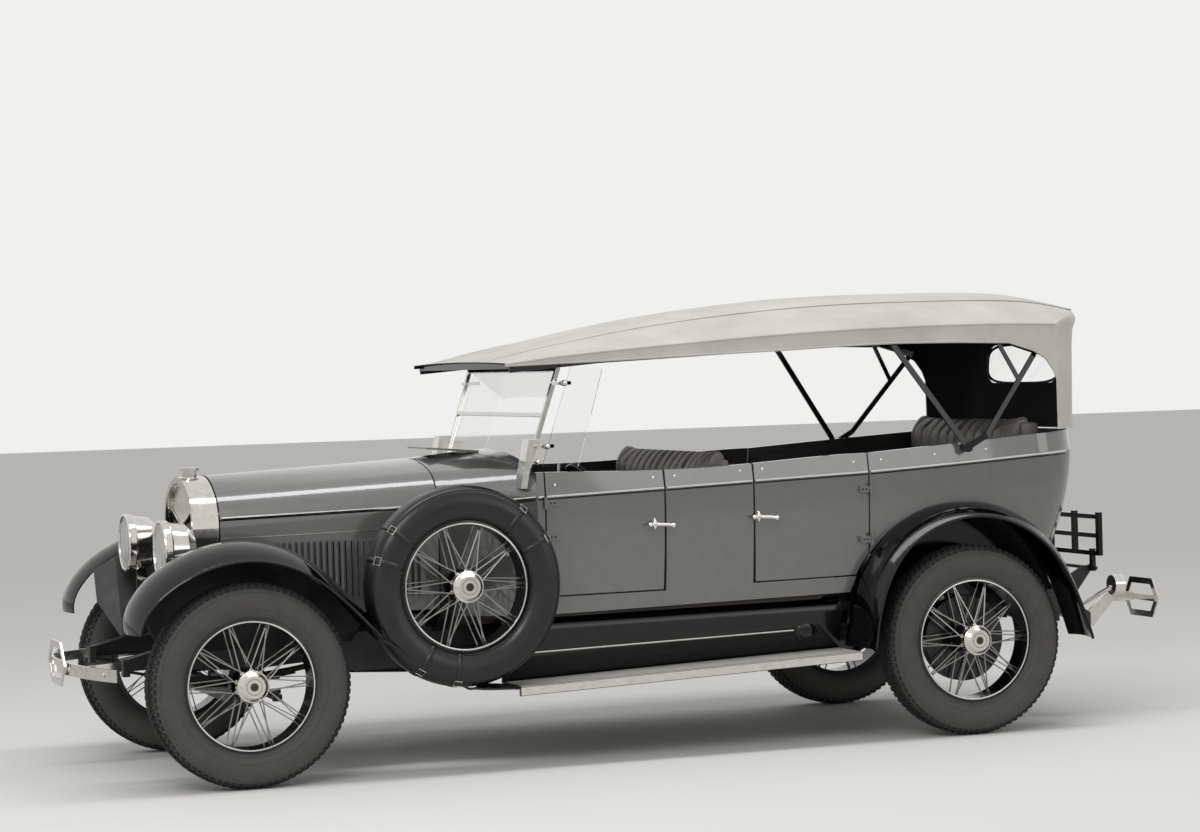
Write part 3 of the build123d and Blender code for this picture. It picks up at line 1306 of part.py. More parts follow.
# Tail lamp on a stalk from the left rail
LAMP_SPOT = (4330, -560, 640)
with BuildPart() as tail_lamp:
    with BuildSketch(cross_plane(LAMP_SPOT[0])):
        with Locations((LAMP_SPOT[1], LAMP_SPOT[2])):
            Circle(48)
    extrude(amount=56)
    add(bar((4200, -410, 520), (4336, -560, 632), 16, 16).part)
    add(rail_form.part, mode=Mode.SUBTRACT)
save(tail_lamp, "tail_lamp")
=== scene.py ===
import math

import bmesh
import bpy
from mathutils import Matrix, Vector
from mathutils.bvhtree import BVHTree


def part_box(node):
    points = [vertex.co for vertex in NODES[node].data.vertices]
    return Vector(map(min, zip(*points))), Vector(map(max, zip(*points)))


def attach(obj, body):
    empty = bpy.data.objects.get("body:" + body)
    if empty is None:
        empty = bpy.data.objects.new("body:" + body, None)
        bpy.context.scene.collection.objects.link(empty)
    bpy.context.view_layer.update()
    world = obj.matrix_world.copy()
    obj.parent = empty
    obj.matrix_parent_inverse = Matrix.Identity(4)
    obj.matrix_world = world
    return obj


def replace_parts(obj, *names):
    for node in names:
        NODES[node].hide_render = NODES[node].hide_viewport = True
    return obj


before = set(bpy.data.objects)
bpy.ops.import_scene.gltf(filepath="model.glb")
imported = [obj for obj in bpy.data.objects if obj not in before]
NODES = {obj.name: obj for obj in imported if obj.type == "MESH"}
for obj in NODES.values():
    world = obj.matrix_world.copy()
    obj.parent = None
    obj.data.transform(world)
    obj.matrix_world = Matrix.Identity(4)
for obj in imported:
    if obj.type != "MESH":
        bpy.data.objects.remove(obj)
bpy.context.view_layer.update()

bl_info = {
    "name": "Touring car",
    "version": (1, 0, 0),
    "blender": (4, 5, 0),
    "location": "View3D > Sidebar > Touring car",
    "description": "Dresses the open touring car with its paint, plating, cloth, leather and tyres",
    "category": "Object",
}

MM = 0.001
# The front axle's place along the car, from which lengths below are given in millimetres
FRONT_X = sum(corner.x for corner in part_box("front_axle")) / 2
SIDES = ((-1, "left"), (1, "right"))
SPARE_MIDDLE = 800


def at(x, y, z):
    """A point from millimetres behind the front axle, right of the middle and above the ground."""
    return Vector((FRONT_X + x * MM, y * MM, z * MM))


# Finishes

def linear(code):
    """The linear colour of an sRGB hex code."""
    values = [int(code[i:i + 2], 16) / 255 for i in (1, 3, 5)]
    return tuple(v / 12.92 if v <= 0.04045 else ((v + 0.055) / 1.055) ** 2.4 for v in values) + (1.0,)


def add_node(tree, kind, inputs=None, **settings):
    """Adds a node, sets its properties, and fills its inputs with values or with (node, output) links."""
    made = tree.nodes.new(kind)
    for key, value in settings.items():
        setattr(made, key, value)
    for key, value in (inputs or {}).items():
        if isinstance(value, tuple) and isinstance(value[0], bpy.types.Node):
            tree.links.new(made.inputs[key], value[0].outputs[value[1]])
        else:
            made.inputs[key].default_value = value
    return made


# The part of a noise's range that is spread over the whole of what it drives
SPREAD = {"From Min": 0.3, "From Max": 0.7}
# Scale at which a wave texture's bands are one millimetre apart: they are 2 pi / 20 of a unit apart at scale 1
BANDS = 2 * math.pi / 20 * 1000


def mottled(tree, where, size_mm, dark, light, gloss, detail=3.0, contrast=0.5):
    """Shader inputs for dust or wear in blotches about that size: two colours, one roughness or its range."""
    blotch = add_node(tree, "ShaderNodeTexNoise", {
        "Vector": (where, "Object"), "Scale": 1000 / size_mm, "Detail": detail, "Roughness": contrast})
    spread = {"Value": (blotch, "Fac"), **SPREAD}
    share = add_node(tree, "ShaderNodeMapRange", spread)
    colour = add_node(tree, "ShaderNodeMix", {0: (share, 0), 6: dark, 7: light}, data_type="RGBA")
    if isinstance(gloss, tuple):
        gloss = (add_node(tree, "ShaderNodeMapRange", {**spread, "To Min": gloss[0], "To Max": gloss[1]}), 0)
    return {"Base Color": (colour, 2), "Roughness": gloss}


def hazed(tree, where, size_mm, low, high):
    """Shader input for a polish that varies between two roughnesses in blotches about that size."""
    haze = add_node(tree, "ShaderNodeTexNoise", {
        "Vector": (where, "Object"), "Scale": 1000 / size_mm, "Detail": 3.0})
    gloss = add_node(tree, "ShaderNodeMapRange", {
        "Value": (haze, "Fac"), **SPREAD, "To Min": low, "To Max": high})
    return {"Roughness": (gloss, 0)}


def grained(tree, where, size_mm, height_mm, detail=3.0):
    """Shader input for a grain of that size and height."""
    grain = add_node(tree, "ShaderNodeTexNoise", {
        "Vector": (where, "Object"), "Scale": 1000 / size_mm, "Detail": detail})
    raised = add_node(tree, "ShaderNodeBump", {"Height": (grain, "Fac"), "Distance": height_mm * MM})
    return {"Normal": (raised, 0)}


def ribbed(tree, where, pitch_mm, height_mm):
    """Shader input for ribs that follow each other across the car, that far apart and that high."""
    ribs = add_node(tree, "ShaderNodeTexWave", {
        "Vector": (where, "Object"), "Scale": BANDS / pitch_mm}, bands_direction="Y")
    raised = add_node(tree, "ShaderNodeBump", {"Height": (ribs, "Fac"), "Distance": height_mm * MM})
    return {"Normal": (raised, 0)}


def woven(tree, where, height_mm, dark, light, gloss):
    """Shader inputs for a plain weave, 19 mm from thread to thread, which is far coarser than real."""
    threads = []
    for direction in ("X", "Y"):
        threads.append(add_node(tree, "ShaderNodeTexWave", {
            "Vector": (where, "Object"), "Scale": BANDS / 18.85, "Distortion": 0.6, "Detail": 1.0},
            wave_type="BANDS", bands_direction=direction))
    cross = add_node(tree, "ShaderNodeMath", {
        0: (threads[0], "Fac"), 1: (threads[1], "Fac")}, operation="MAXIMUM")
    raised = add_node(tree, "ShaderNodeBump", {"Height": (cross, 0), "Distance": height_mm * MM})
    return {**mottled(tree, where, 260, dark, light, gloss, 4.0, 0.6), "Normal": (raised, 0)}


def cellulose_lacquer(tree, where, settings):
    # Brushed and rubbed cellulose lacquer: an even grey with a soft gloss and a faint waviness
    paint = mottled(tree, where, 60, settings.lacquer_dark, settings.lacquer_light, 0.3, 4.0)
    # Faces that look inwards are trimmed with dark, dull leather
    place = add_node(tree, "ShaderNodeSeparateXYZ", {0: (where, "Object")})
    facing = add_node(tree, "ShaderNodeSeparateXYZ", {0: (where, "Normal")})
    apart = add_node(tree, "ShaderNodeMath", {0: (place, "Y"), 1: (facing, "Y")}, operation="MULTIPLY")
    inner = add_node(tree, "ShaderNodeMath", {0: (apart, 0), 1: -0.2}, operation="LESS_THAN")
    trim = add_node(tree, "ShaderNodeMix", {
        0: (inner, 0), 6: paint["Base Color"], 7: linear("#1d1a18")}, data_type="RGBA")
    dull = add_node(tree, "ShaderNodeMapRange", {"Value": (inner, 0), "To Min": 0.3, "To Max": 0.6})
    return {"Base Color": (trim, 2), "Roughness": (dull, 0), "Coat Weight": 1.0, "Coat IOR": 1.8,
            "Coat Roughness": 0.08, **grained(tree, where, 420, 0.5, 1.0)}


def stove_enamel(tree, where, settings):
    # Stoved enamel: deep black with a wet gloss, a little dusty
    return {**mottled(tree, where, 90, linear("#040405"), linear("#0b0b0c"), (0.07, 0.13), 5.0), "IOR": 1.47}


def chassis_black(tree, where, settings):
    # Brushed chassis paint: even black, half gloss, with settled dust
    return mottled(tree, where, 120, linear("#0c0c0d"), linear("#1b1b1b"), (0.35, 0.5), 5.0)


def nickel_plate(tree, where, settings):
    # Polished nickel plate: warm grey mirror with faint hazing
    return {**mottled(tree, where, 35, linear("#cdcac4"), linear("#dbd9d4"), (0.08, 0.14), 4.0),
            "Metallic": 1.0}


def vulcanised_rubber(tree, where, settings):
    # Moulded and vulcanised rubber: dull black that has greyed with road dust
    return {**mottled(tree, where, 70, settings.rubber_dark, settings.rubber_light, (0.55, 0.75), 6.0, 0.6),
            **grained(tree, where, 2.5, 0.15, 2.0)}


def tread_rubber(tree, where, settings):
    # Tread rubber: blacker than the side walls, roughened by the road
    return {**mottled(tree, where, 6, linear("#141413"), linear("#232221"), 0.85),
            **grained(tree, where, 6, 0.4)}


def top_canvas(tree, where, settings):
    # Rubber-backed canvas: pale, matt and evenly woven, a little faded in large patches
    return {**woven(tree, where, 0.3, settings.canvas_dark, settings.canvas_light, 0.85), "Sheen Weight": 0.2}


def top_lining(tree, where, settings):
    # Dyed cotton lining inside the top: black and quite matt
    return woven(tree, where, 0.2, linear("#0c0c0d"), linear("#191817"), 0.95)


def dressed_leather(tree, where, settings):
    # Dressed cowhide: grey-brown with a 5 mm grain, coarser than real so that it shows, and a worn sheen
    grain = add_node(tree, "ShaderNodeTexVoronoi", {
        "Vector": (where, "Object"), "Scale": 1000 / 5.0}, feature="DISTANCE_TO_EDGE")
    raised = add_node(tree, "ShaderNodeBump", {"Height": (grain, "Distance"), "Distance": 0.35 * MM})
    return {**mottled(tree, where, 110, settings.leather_dark, settings.leather_light, (0.38, 0.52), 4.0),
            "Normal": (raised, 0)}


def coated_cloth(tree, where, settings):
    # Coated cloth of the spare tyre covers: black, half gloss, pulled tight
    return {**mottled(tree, where, 120, linear("#080809"), linear("#131314"), (0.24, 0.36)),
            **grained(tree, where, 4.0, 0.25)}


def plate_glass(tree, where, settings):
    # Ground and polished plate: clear and slightly grey, with a low index that leaves the view undistorted
    return {"Base Color": linear("#fafafa"), "Roughness": 0.02, "Transmission Weight": 1.0, "IOR": 1.12}


def pressed_glass(tree, where, settings):
    # Pressed lamp glass: silvery, with upright flutes 57 mm apart, coarser than real
    return {"Base Color": linear("#f2f3f2"), "Roughness": 0.08, "Transmission Weight": 0.45, "IOR": 1.45,
            **ribbed(tree, where, 56.55, 1.2)}


def ruby_glass(tree, where, settings):
    # Pressed ruby glass: deep red with a smooth face
    return {**mottled(tree, where, 12, linear("#5c0f10"), linear("#741516"), 0.08, 1.0),
            "Transmission Weight": 0.3}


def cast_iron(tree, where, settings):
    # Sand-cast iron: rough and near black under oil and dust
    return {**mottled(tree, where, 8, linear("#161615"), linear("#2b2a28"), 0.6, 4.0), "Metallic": 0.4,
            **grained(tree, where, 8, 0.8, 4.0)}


def rolled_steel(tree, where, settings):
    # Rolled spring and pipe steel: dark and patchy from heat and grease
    return {**mottled(tree, where, 22, linear("#1c1c1d"), linear("#3a3937"), (0.4, 0.65), 5.0),
            "Metallic": 0.8}


def oiled_boards(tree, where, settings):
    # Sawn and oiled floor boards: dark and dull, with wavy grain 88 mm apart, coarser than real
    grain = add_node(tree, "ShaderNodeTexWave", {
        "Vector": (where, "Object"), "Scale": BANDS / 87.96, "Distortion": 6.0, "Detail": 3.0},
        bands_direction="Y")
    colour = add_node(tree, "ShaderNodeMix", {
        0: (grain, "Fac"), 6: linear("#15110d"), 7: linear("#2a221a")}, data_type="RGBA")
    raised = add_node(tree, "ShaderNodeBump", {"Height": (grain, "Fac"), "Distance": 0.3 * MM})
    return {"Base Color": (colour, 2), "Normal": (raised, 0), "Roughness": 0.7}


def hard_rubber(tree, where, settings):
    # Turned hard rubber of the steering wheel's rim: brown-black, polished by hands
    return mottled(tree, where, 40, linear("#0d0b0a"), linear("#1d1815"), (0.2, 0.34))


def ribbed_matting(tree, where, settings):
    # Moulded rubber matting of the running boards: pale with wear, ribs 75 mm apart, coarser than real
    return {**mottled(tree, where, 50, linear("#a09e9a"), linear("#b4b2ae"), 0.6, 4.0),
            **ribbed(tree, where, 75.4, 2.0)}


def radiator_shutters(tree, where, settings):
    # Pressed and blacked shutters, with a nickel plate in front of them above, told apart by depth
    place = add_node(tree, "ShaderNodeSeparateXYZ", {0: (where, "Object")})
    plate = add_node(tree, "ShaderNodeMath", {0: (place, "X"), 1: FRONT_X - 0.0915}, operation="LESS_THAN")
    colour = add_node(tree, "ShaderNodeMix", {
        0: (plate, 0), 6: linear("#1a1a1b"), 7: linear("#cfccc5")}, data_type="RGBA")
    return {"Base Color": (colour, 2), "Metallic": (plate, 0), **hazed(tree, where, 30, 0.16, 0.3)}


# Zones of a wheel, each painted over the last: between two radii, further out than that, and its colour.
# They are the spokes, the cap, the cap's dark disc, and a dark ring on the cap that is painted shade standing
# in for a groove.
WHEEL_ZONES = (
    (0.0735, 0.2715, -0.046, "#8f8e8a"), (-1.0, 0.0735, 0.052, "#d5d2cb"), (-1.0, 0.018, 0.052, "#4a4a49"),
    # Painted shade of a groove in the cap, as a dark ring
    (0.0329, 0.0351, 0.052, "#4a4a49"),
)
SPOKES_METALLIC = 0.7


def wire_wheel(tree, where, settings, centre, side):
    # Wire wheel: stoved black rim and hub, plated spokes and a nickel cap with a plain dark disc and a ring of
    # painted groove shade
    place = add_node(tree, "ShaderNodeVectorMath", {
        0: (where, "Object"), 1: tuple(centre)}, operation="SUBTRACT")
    flat = add_node(tree, "ShaderNodeVectorMath", {
        0: (place, "Vector"), 1: (1.0, 0.0, 1.0)}, operation="MULTIPLY")
    radius = add_node(tree, "ShaderNodeVectorMath", {0: (flat, "Vector")}, operation="LENGTH")
    across = add_node(tree, "ShaderNodeSeparateXYZ", {0: (place, "Vector")})
    outward = add_node(tree, "ShaderNodeMath", {0: (across, "Y"), 1: float(side)}, operation="MULTIPLY")
    colour = linear("#0a0a0b")
    zones = []
    for start, end, out, shade in WHEEL_ZONES:
        beyond = add_node(tree, "ShaderNodeMath", {0: (radius, "Value"), 1: start}, operation="GREATER_THAN")
        within = add_node(tree, "ShaderNodeMath", {0: (radius, "Value"), 1: end}, operation="LESS_THAN")
        outer = add_node(tree, "ShaderNodeMath", {0: (outward, 0), 1: out}, operation="GREATER_THAN")
        belt = add_node(tree, "ShaderNodeMath", {0: (beyond, 0), 1: (within, 0)}, operation="MULTIPLY")
        zone = add_node(tree, "ShaderNodeMath", {0: (belt, 0), 1: (outer, 0)}, operation="MULTIPLY")
        painted = add_node(tree, "ShaderNodeMix", {0: (zone, 0), 6: colour, 7: linear(shade)}, data_type="RGBA")
        colour = (painted, 2)
        zones.append(zone)
    spokes = add_node(tree, "ShaderNodeMath", {0: (zones[0], 0), 1: SPOKES_METALLIC}, operation="MULTIPLY")
    metal = add_node(tree, "ShaderNodeMath", {0: (spokes, 0), 1: (zones[1], 0)}, operation="MAXIMUM")
    return {"Base Color": colour, "Metallic": (metal, 0), **hazed(tree, where, 40, 0.14, 0.24)}


def painted_floor(tree, where, settings):
    # Rolled floor paint: pale, even and matt
    return {"Base Color": linear("#e4e3e1"), "Roughness": 0.9}


FINISHES = {recipe.__name__: recipe for recipe in (
    cellulose_lacquer, stove_enamel, chassis_black, nickel_plate, vulcanised_rubber, tread_rubber, top_canvas,
    top_lining, dressed_leather, coated_cloth, plate_glass, pressed_glass, ruby_glass, cast_iron, rolled_steel,
    oiled_boards, hard_rubber, ribbed_matting, radiator_shutters, painted_floor,
)}
MADE = {}


def new_material(name, recipe, *details):
    """A material whose shader takes the inputs that its recipe returns."""
    material = bpy.data.materials.new(name)
    material.use_nodes = True
    tree = material.node_tree
    tree.nodes.clear()
    where = add_node(tree, "ShaderNodeTexCoord")
    inputs = recipe(tree, where, bpy.context.scene.touring_finish, *details)
    shader = add_node(tree, "ShaderNodeBsdfPrincipled", inputs)
    add_node(tree, "ShaderNodeOutputMaterial", {"Surface": (shader, "BSDF")})
    return material


def finish_named(name):
    """The material of that name, made the first time it is asked for."""
    if name not in MADE:
        MADE[name] = new_material(name, FINISHES[name])
    return MADE[name]


# Shapes

def new_piece(name, bm, body, finishes, smooth=True):
    """Turns a bmesh into a finished piece that rides on a body."""
    bmesh.ops.recalc_face_normals(bm, faces=bm.faces)
    piece = mesh_object(name, bm)
    for finish in finishes:
        piece.data.materials.append(finish_named(finish))
    if smooth:
        shade_smooth(piece.data, 38)
    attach(piece, body)
    return piece


def mesh_object(name, bm):
    """Puts a bmesh into the scene as an object at the origin."""
    mesh = bpy.data.meshes.new(name)
    bm.to_mesh(mesh)
    bm.free()
    made = bpy.data.objects.new(name, mesh)
    bpy.context.scene.collection.objects.link(made)
    return made


def shade_smooth(mesh, degrees):
    """Smooth shading that breaks at edges sharper than that."""
    mesh.polygons.foreach_set("use_smooth", [True] * len(mesh.polygons))
    mesh.set_sharp_from_angle(angle=math.radians(degrees))


def apply_modifiers(piece):
    """Makes what the modifiers show the piece's own mesh."""
    bpy.context.view_layer.update()
    piece.data = bpy.data.meshes.new_from_object(piece.evaluated_get(bpy.context.evaluated_depsgraph_get()))
    piece.modifiers.clear()


def oval(radius, out, wide, tall, sides=6):
    """Section of a raised bead about a wheel's axis."""
    angles = (2 * math.pi * i / sides for i in range(sides))
    return [(radius + wide * math.cos(a), out + tall * math.sin(a)) for a in angles]


def ring(bm, profile, centre, side, steps, material=0):
    """Spins a closed profile of (radius, outward) millimetres about a wheel's axis."""
    verts = [bm.verts.new((r * MM, side * y * MM, 0)) for r, y in profile]
    edges = [bm.edges.new(pair) for pair in zip(verts, verts[1:] + verts[:1])]
    before = set(bm.faces)
    bmesh.ops.spin(bm, geom=verts + edges, cent=(0, 0, 0), axis=(0, 1, 0), angle=2 * math.pi, steps=steps,
                   use_merge=True)
    made = [f for f in bm.faces if f not in before]
    for face in made:
        face.material_index = material
    bmesh.ops.remove_doubles(bm, verts=list({v for f in made for v in f.verts}), dist=1e-6)
    moved = {v for f in bm.faces if f not in before for v in f.verts}
    bmesh.ops.translate(bm, verts=list(moved), vec=centre)


def button(bm, section, centre, axis, steps):
    """Spins an open section, from its middle outwards, about an axis through the centre."""
    made = [bm.verts.new(centre + point * MM) for point in section]
    edges = [bm.edges.new(pair) for pair in zip(made, made[1:])]
    bmesh.ops.spin(bm, geom=made + edges, cent=centre, axis=axis, angle=2 * math.pi, steps=steps,
                   use_merge=True)
    bmesh.ops.remove_doubles(bm, verts=bm.verts, dist=1e-6)


def block(bm, size, place, turn=0.0, material=0):
    """A box of that size, turned about Y and put in place. Returns its vertices."""
    made = bmesh.ops.create_cube(bm, size=1.0, matrix=(
        Matrix.Translation(place) @ Matrix.Rotation(turn, 4, "Y") @ Matrix.Diagonal((*size, 1.0))))["verts"]
    for face in {f for v in made for f in v.link_faces}:
        face.material_index = material
    return made


def ball(bm, spot, radius, stretch=(1, 1, 1), segments=12, rings=8):
    """A round head, stretched along the axes."""
    bmesh.ops.create_uvsphere(bm, u_segments=segments, v_segments=rings, radius=radius, matrix=(
        Matrix.Translation(spot) @ Matrix.Diagonal((*stretch, 1))))


def tube(bm, points, radius, sides=8, material=0, closed=False, squash=1.0, up=Vector((0, 0, 1))):
    """Round bar along points, with a section that may be flattened across the given direction."""
    count = len(points)
    rings = []
    for i, point in enumerate(points):
        before = points[i - 1] if i or closed else point
        after = points[(i + 1) % count] if i < count - 1 or closed else point
        along = (after - before).normalized()
        across = along.cross(up)
        across = across.normalized() if across.length > 1e-4 else along.orthogonal().normalized()
        turn = Matrix((across, along.cross(across).normalized(), along)).transposed().to_4x4()
        made = bmesh.ops.create_circle(bm, segments=sides, radius=radius, matrix=(
            Matrix.Translation(point) @ turn @ Matrix.Diagonal((squash, 1.0, 1.0, 1.0))))["verts"]
        rings.append([e for e in bm.edges if e.verts[0] in made and e.verts[1] in made])
    faces = []
    for a, b in zip(rings, rings[1:] + (rings[:1] if closed else [])):
        faces += bmesh.ops.bridge_loops(bm, edges=a + b)["faces"]
    if not closed:
        for loop in (rings[0], rings[-1]):
            faces += bmesh.ops.contextual_create(bm, geom=loop)["faces"]
    for face in faces:
        face.material_index = material


def strap(bm, path, across):
    """Flat strap whose edge is pulled out along a path, to that vector on each side of it."""
    edge = bm.edges.new([bm.verts.new(path[0] + across * way) for way in (-1, 1)])
    for last, point in zip(path, path[1:]):
        made = bmesh.ops.extrude_edge_only(bm, edges=[edge])["geom"]
        verts = [g for g in made if isinstance(g, bmesh.types.BMVert)]
        bmesh.ops.translate(bm, verts=verts, vec=point - last)
        edge = next(g for g in made if isinstance(g, bmesh.types.BMEdge) and all(v in verts for v in g.verts))


def sheet_of(bm, rows):
    """Lays a grid of cloth on rows of points."""
    made = bmesh.ops.create_grid(bm, x_segments=len(rows[0]) - 1, y_segments=len(rows) - 1, size=1.0)["verts"]
    made.sort(key=lambda v: (round(v.co.y, 5), round(v.co.x, 5)))
    for vert, point in zip(made, (p for row in rows for p in row)):
        vert.co = at(*point)


def surface(node):
    """Search tree of a CAD node's surface."""
    bm = bmesh.new()
    bm.from_mesh(NODES[node].data)
    tree = BVHTree.FromBMesh(bm)
    bm.free()
    return tree


def on_side(tree, side, x, z, proud=0.0):
    """Point of the surface that a level ray from outside meets at that station and height."""
    start = Vector((FRONT_X + x * MM, side * 1.5, z * MM))
    hit = tree.ray_cast(start, Vector((0, -side, 0)))[0]
    return None if hit is None else hit + Vector((0, side * proud * MM, 0))


def smooth_line(points, parts):
    """Points of a smooth curve through the given ones."""
    made = []
    for i in range(len(points) - 1):
        p0, p1, p2, p3 = (points[max(0, min(len(points) - 1, i + k))] for k in (-1, 0, 1, 2))
        for j in range(parts):
            t = j / parts
            made.append(0.5 * (2 * p1 + (p2 - p0) * t + (2 * p0 - 5 * p1 + 4 * p2 - p3) * t * t
                               + (3 * p1 - p0 - 3 * p2 + p3) * t ** 3))
    return made + [points[-1]]


def wheel_centre(end, side_name):
    """Middle of a road wheel."""
    low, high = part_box(f"tyre_{end}_{side_name}")
    return (low + high) / 2


def spare_centre(side):
    """Middle of a spare wheel."""
    low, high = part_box("spare_tyres")
    return Vector(((low.x + high.x) / 2, side * SPARE_MIDDLE * MM, (low.z + high.z) / 2))


# Body line along the side: station and height
BELT = (
    (6, 1133), (967, 1160), (973, 1160), (1356, 1194), (1680, 1205), (2000, 1215), (2500, 1232), (2975, 1247),
    (3450, 1270), (3900, 1293), (4080, 1302),
)


def height_on(rows, x):
    """Height of a line of (station, height) rows at a station."""
    for (x0, z0), (x1, z1) in zip(rows, rows[1:]):
        if x <= x1:
            return z0 + (z1 - z0) * (x - x0) / max(x1 - x0, 1)
    return rows[-1][1]


def colour_setting(name, description, code):
    """A colour that a user may change."""
    return bpy.props.FloatVectorProperty(
        name=name, description=description, default=linear(code), subtype="COLOR", size=4, min=0, max=1)


class FinishSettings(bpy.types.PropertyGroup):
    """Colours and sizes that a user would change."""
    lacquer_dark: colour_setting("Lacquer dark", "Body lacquer in its darker places", "#575756")
    lacquer_light: colour_setting("Lacquer light", "Body lacquer in its lighter places", "#5c5c5b")
    canvas_dark: colour_setting("Canvas dark", "Top canvas where it is darker", "#b2b0a9")
    canvas_light: colour_setting("Canvas light", "Top canvas where it is lighter", "#c4c2bb")
    leather_dark: colour_setting("Leather dark", "Leather in its folds", "#4a4743")
    leather_light: colour_setting("Leather light", "Leather where it is worn", "#7d7871")
    rubber_dark: colour_setting("Rubber dark", "Clean tyre rubber", "#3a3937")
    rubber_light: colour_setting("Rubber light", "Dusty tyre rubber", "#4a4947")
    tread_blocks: bpy.props.IntProperty(
        name="Tread blocks", description="Blocks in one row round a tyre", default=84, min=24, max=120)
    bead_size: bpy.props.FloatProperty(
        name="Bead", description="Radius of the bright mouldings", default=0.006, min=0.001, unit="LENGTH")


class TOURING_OT_cad_finish(bpy.types.Operator):
    """Give every carried-over node its material"""
    bl_idname = "touring.cad_finish"
    bl_label = "Finish the bodywork"

    GROUPS = {
        "cellulose_lacquer": ("body_sides", "cowl", "door_front_left", "door_front_right", "door_rear_left",
                              "door_rear_right", "hood_side_left", "hood_side_right", "hood_top_left",
                              "hood_top_right", "tonneau"),
        "stove_enamel": ("running_boards", "luggage_rack", "top_frame", "steering_column", "fenders_front",
                         "fenders_rear"),
        "chassis_black": ("chassis_frame", "front_axle", "rear_axle", "knuckle_left", "knuckle_right",
                          "tie_rod", "fuel_tank"),
        "nickel_plate": ("radiator_shell", "headlamps", "bumpers", "windshield_frame", "tail_lamp"),
        "plate_glass": ("windshield_glass",),
        "pressed_glass": ("headlamp_lenses",),
        "cast_iron": ("engine_block",),
        "rolled_steel": ("exhaust", "leaf_springs"),
        "oiled_boards": ("floor",),
        "hard_rubber": ("steering_wheel",),
        "radiator_shutters": ("radiator_core",),
        "vulcanised_rubber": ("tyre_front_left", "tyre_front_right", "tyre_rear_left", "tyre_rear_right",
                              "spare_tyres"),
        "dressed_leather": ("seats",),
        "top_canvas": ("top_cover",),
    }
    # Half the width between the fenders' valances, inside which their faces are brushed black
    VALANCE = 0.57

    def execute(self, context):
        for finish, names in self.GROUPS.items():
            for name in names:
                self.assign(name, [finish_named(finish)])
        for name in ("fenders_front", "fenders_rear"):
            faces = NODES[name].data.polygons
            NODES[name].data.materials.append(finish_named("chassis_black"))
            faces.foreach_set("material_index", [int(abs(p.center.y) < self.VALANCE) for p in faces])
        for end in ("front", "rear"):
            for side, side_name in SIDES:
                name = f"wheel_{end}_{side_name}"
                centre = wheel_centre(end, side_name)
                self.assign(name, [new_material(f"wire_{name}", wire_wheel, centre, side)])
        spares = [new_material(f"wire_wheel_spare_{side_name}", wire_wheel, spare_centre(side), side)
                  for side, side_name in SIDES]
        self.assign("spare_wheels", spares)
        faces = NODES["spare_wheels"].data.polygons
        faces.foreach_set("material_index", [int(p.center.y >= 0) for p in faces])
        return {"FINISHED"}

    def assign(self, name, materials):
        """Gives a node those materials and no others."""
        slots = NODES[name].data.materials
        slots.clear()
        for material in materials:
            slots.append(material)


class TOURING_OT_tyres(bpy.types.Operator):
    """Make the four tyres with their sidewalls and block tread"""
    bl_idname = "touring.tyres"
    bl_label = "Tyres"

    # Half section of the carcass from the bead to the crown: radius and way out from the wheel's middle
    CARCASS = (
        (291, 57), (300, 68), (318, 80), (342, 88), (368, 91), (394, 89), (412, 82), (426, 70), (433, 56),
        (436, 30),
    )
    CROWN = (437, 0)
    # Raised ribs of the side wall: radius and way out
    RIBS = ((306, 72.5), (334, 85.5), (402, 87))
    # Rows of tread blocks: way out, width, radius, lean in degrees, and shift as a share of the pitch
    TREAD = (
        (28, 15, 441, 0, 0), (-28, 15, 441, 0, 0.5), (50, 20, 437, 8, 0.5), (-50, 20, 437, -8, 0),
        (71, 13, 424, 34, 0), (-71, 13, 424, -34, 0.5),
    )
    BLOCK_HEIGHT = 9
    # Share of the pitch that a block takes up
    BLOCK_SHARE = 0.62
    STEPS = 96

    def execute(self, context):
        for end in ("front", "rear"):
            for side, side_name in SIDES:
                centre = wheel_centre(end, side_name)
                bm = bmesh.new()
                profile = [*self.CARCASS, self.CROWN] + [(r, -y) for r, y in reversed(self.CARCASS)]
                ring(bm, profile, centre, side, self.STEPS)
                for radius, out in self.RIBS:
                    ring(bm, oval(radius, out, 2.4, 1.5), centre, side, self.STEPS)
                for y in (-13, 0, 13):
                    band = [(434, y - 4), (443.6, y - 3), (443.6, y + 3), (434, y + 4)]
                    ring(bm, band, centre, side, self.STEPS, 1)
                for row in self.TREAD:
                    self.blocks(bm, centre, side, context.scene.touring_finish.tread_blocks, *row)
                piece = new_piece(f"road_tyre_{end}_{side_name}", bm, f"{end}_{side_name}_wheel",
                                  ["vulcanised_rubber", "tread_rubber"])
                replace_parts(piece, f"tyre_{end}_{side_name}")
        return {"FINISHED"}

    def blocks(self, bm, centre, side, count, y, wide, lift, lean, shift):
        """One row of blocks round the tyre."""
        long = 2 * math.pi * 440 / count * self.BLOCK_SHARE
        spot = Vector(((lift - 2) * MM, side * y * MM, 0))
        known = set(bm.verts)
        verts = block(bm, (self.BLOCK_HEIGHT * MM, wide * MM, long * MM), spot, material=1)
        bmesh.ops.rotate(bm, verts=verts, cent=spot,
                         matrix=Matrix.Rotation(math.radians(-side * lean), 3, "Z"))
        bmesh.ops.rotate(bm, verts=verts, cent=(0, 0, 0),
                         matrix=Matrix.Rotation(shift * 2 * math.pi / count, 3, "Y"))
        edges = {e for v in verts for e in v.link_edges}
        faces = {f for v in verts for f in v.link_faces}
        bmesh.ops.spin(bm, geom=[*verts, *edges, *faces], cent=(0, 0, 0), axis=(0, 1, 0), use_duplicate=True,
                       angle=2 * math.pi * (count - 1) / count, steps=count - 1)
        bmesh.ops.translate(bm, verts=[v for v in bm.verts if v not in known], vec=centre)


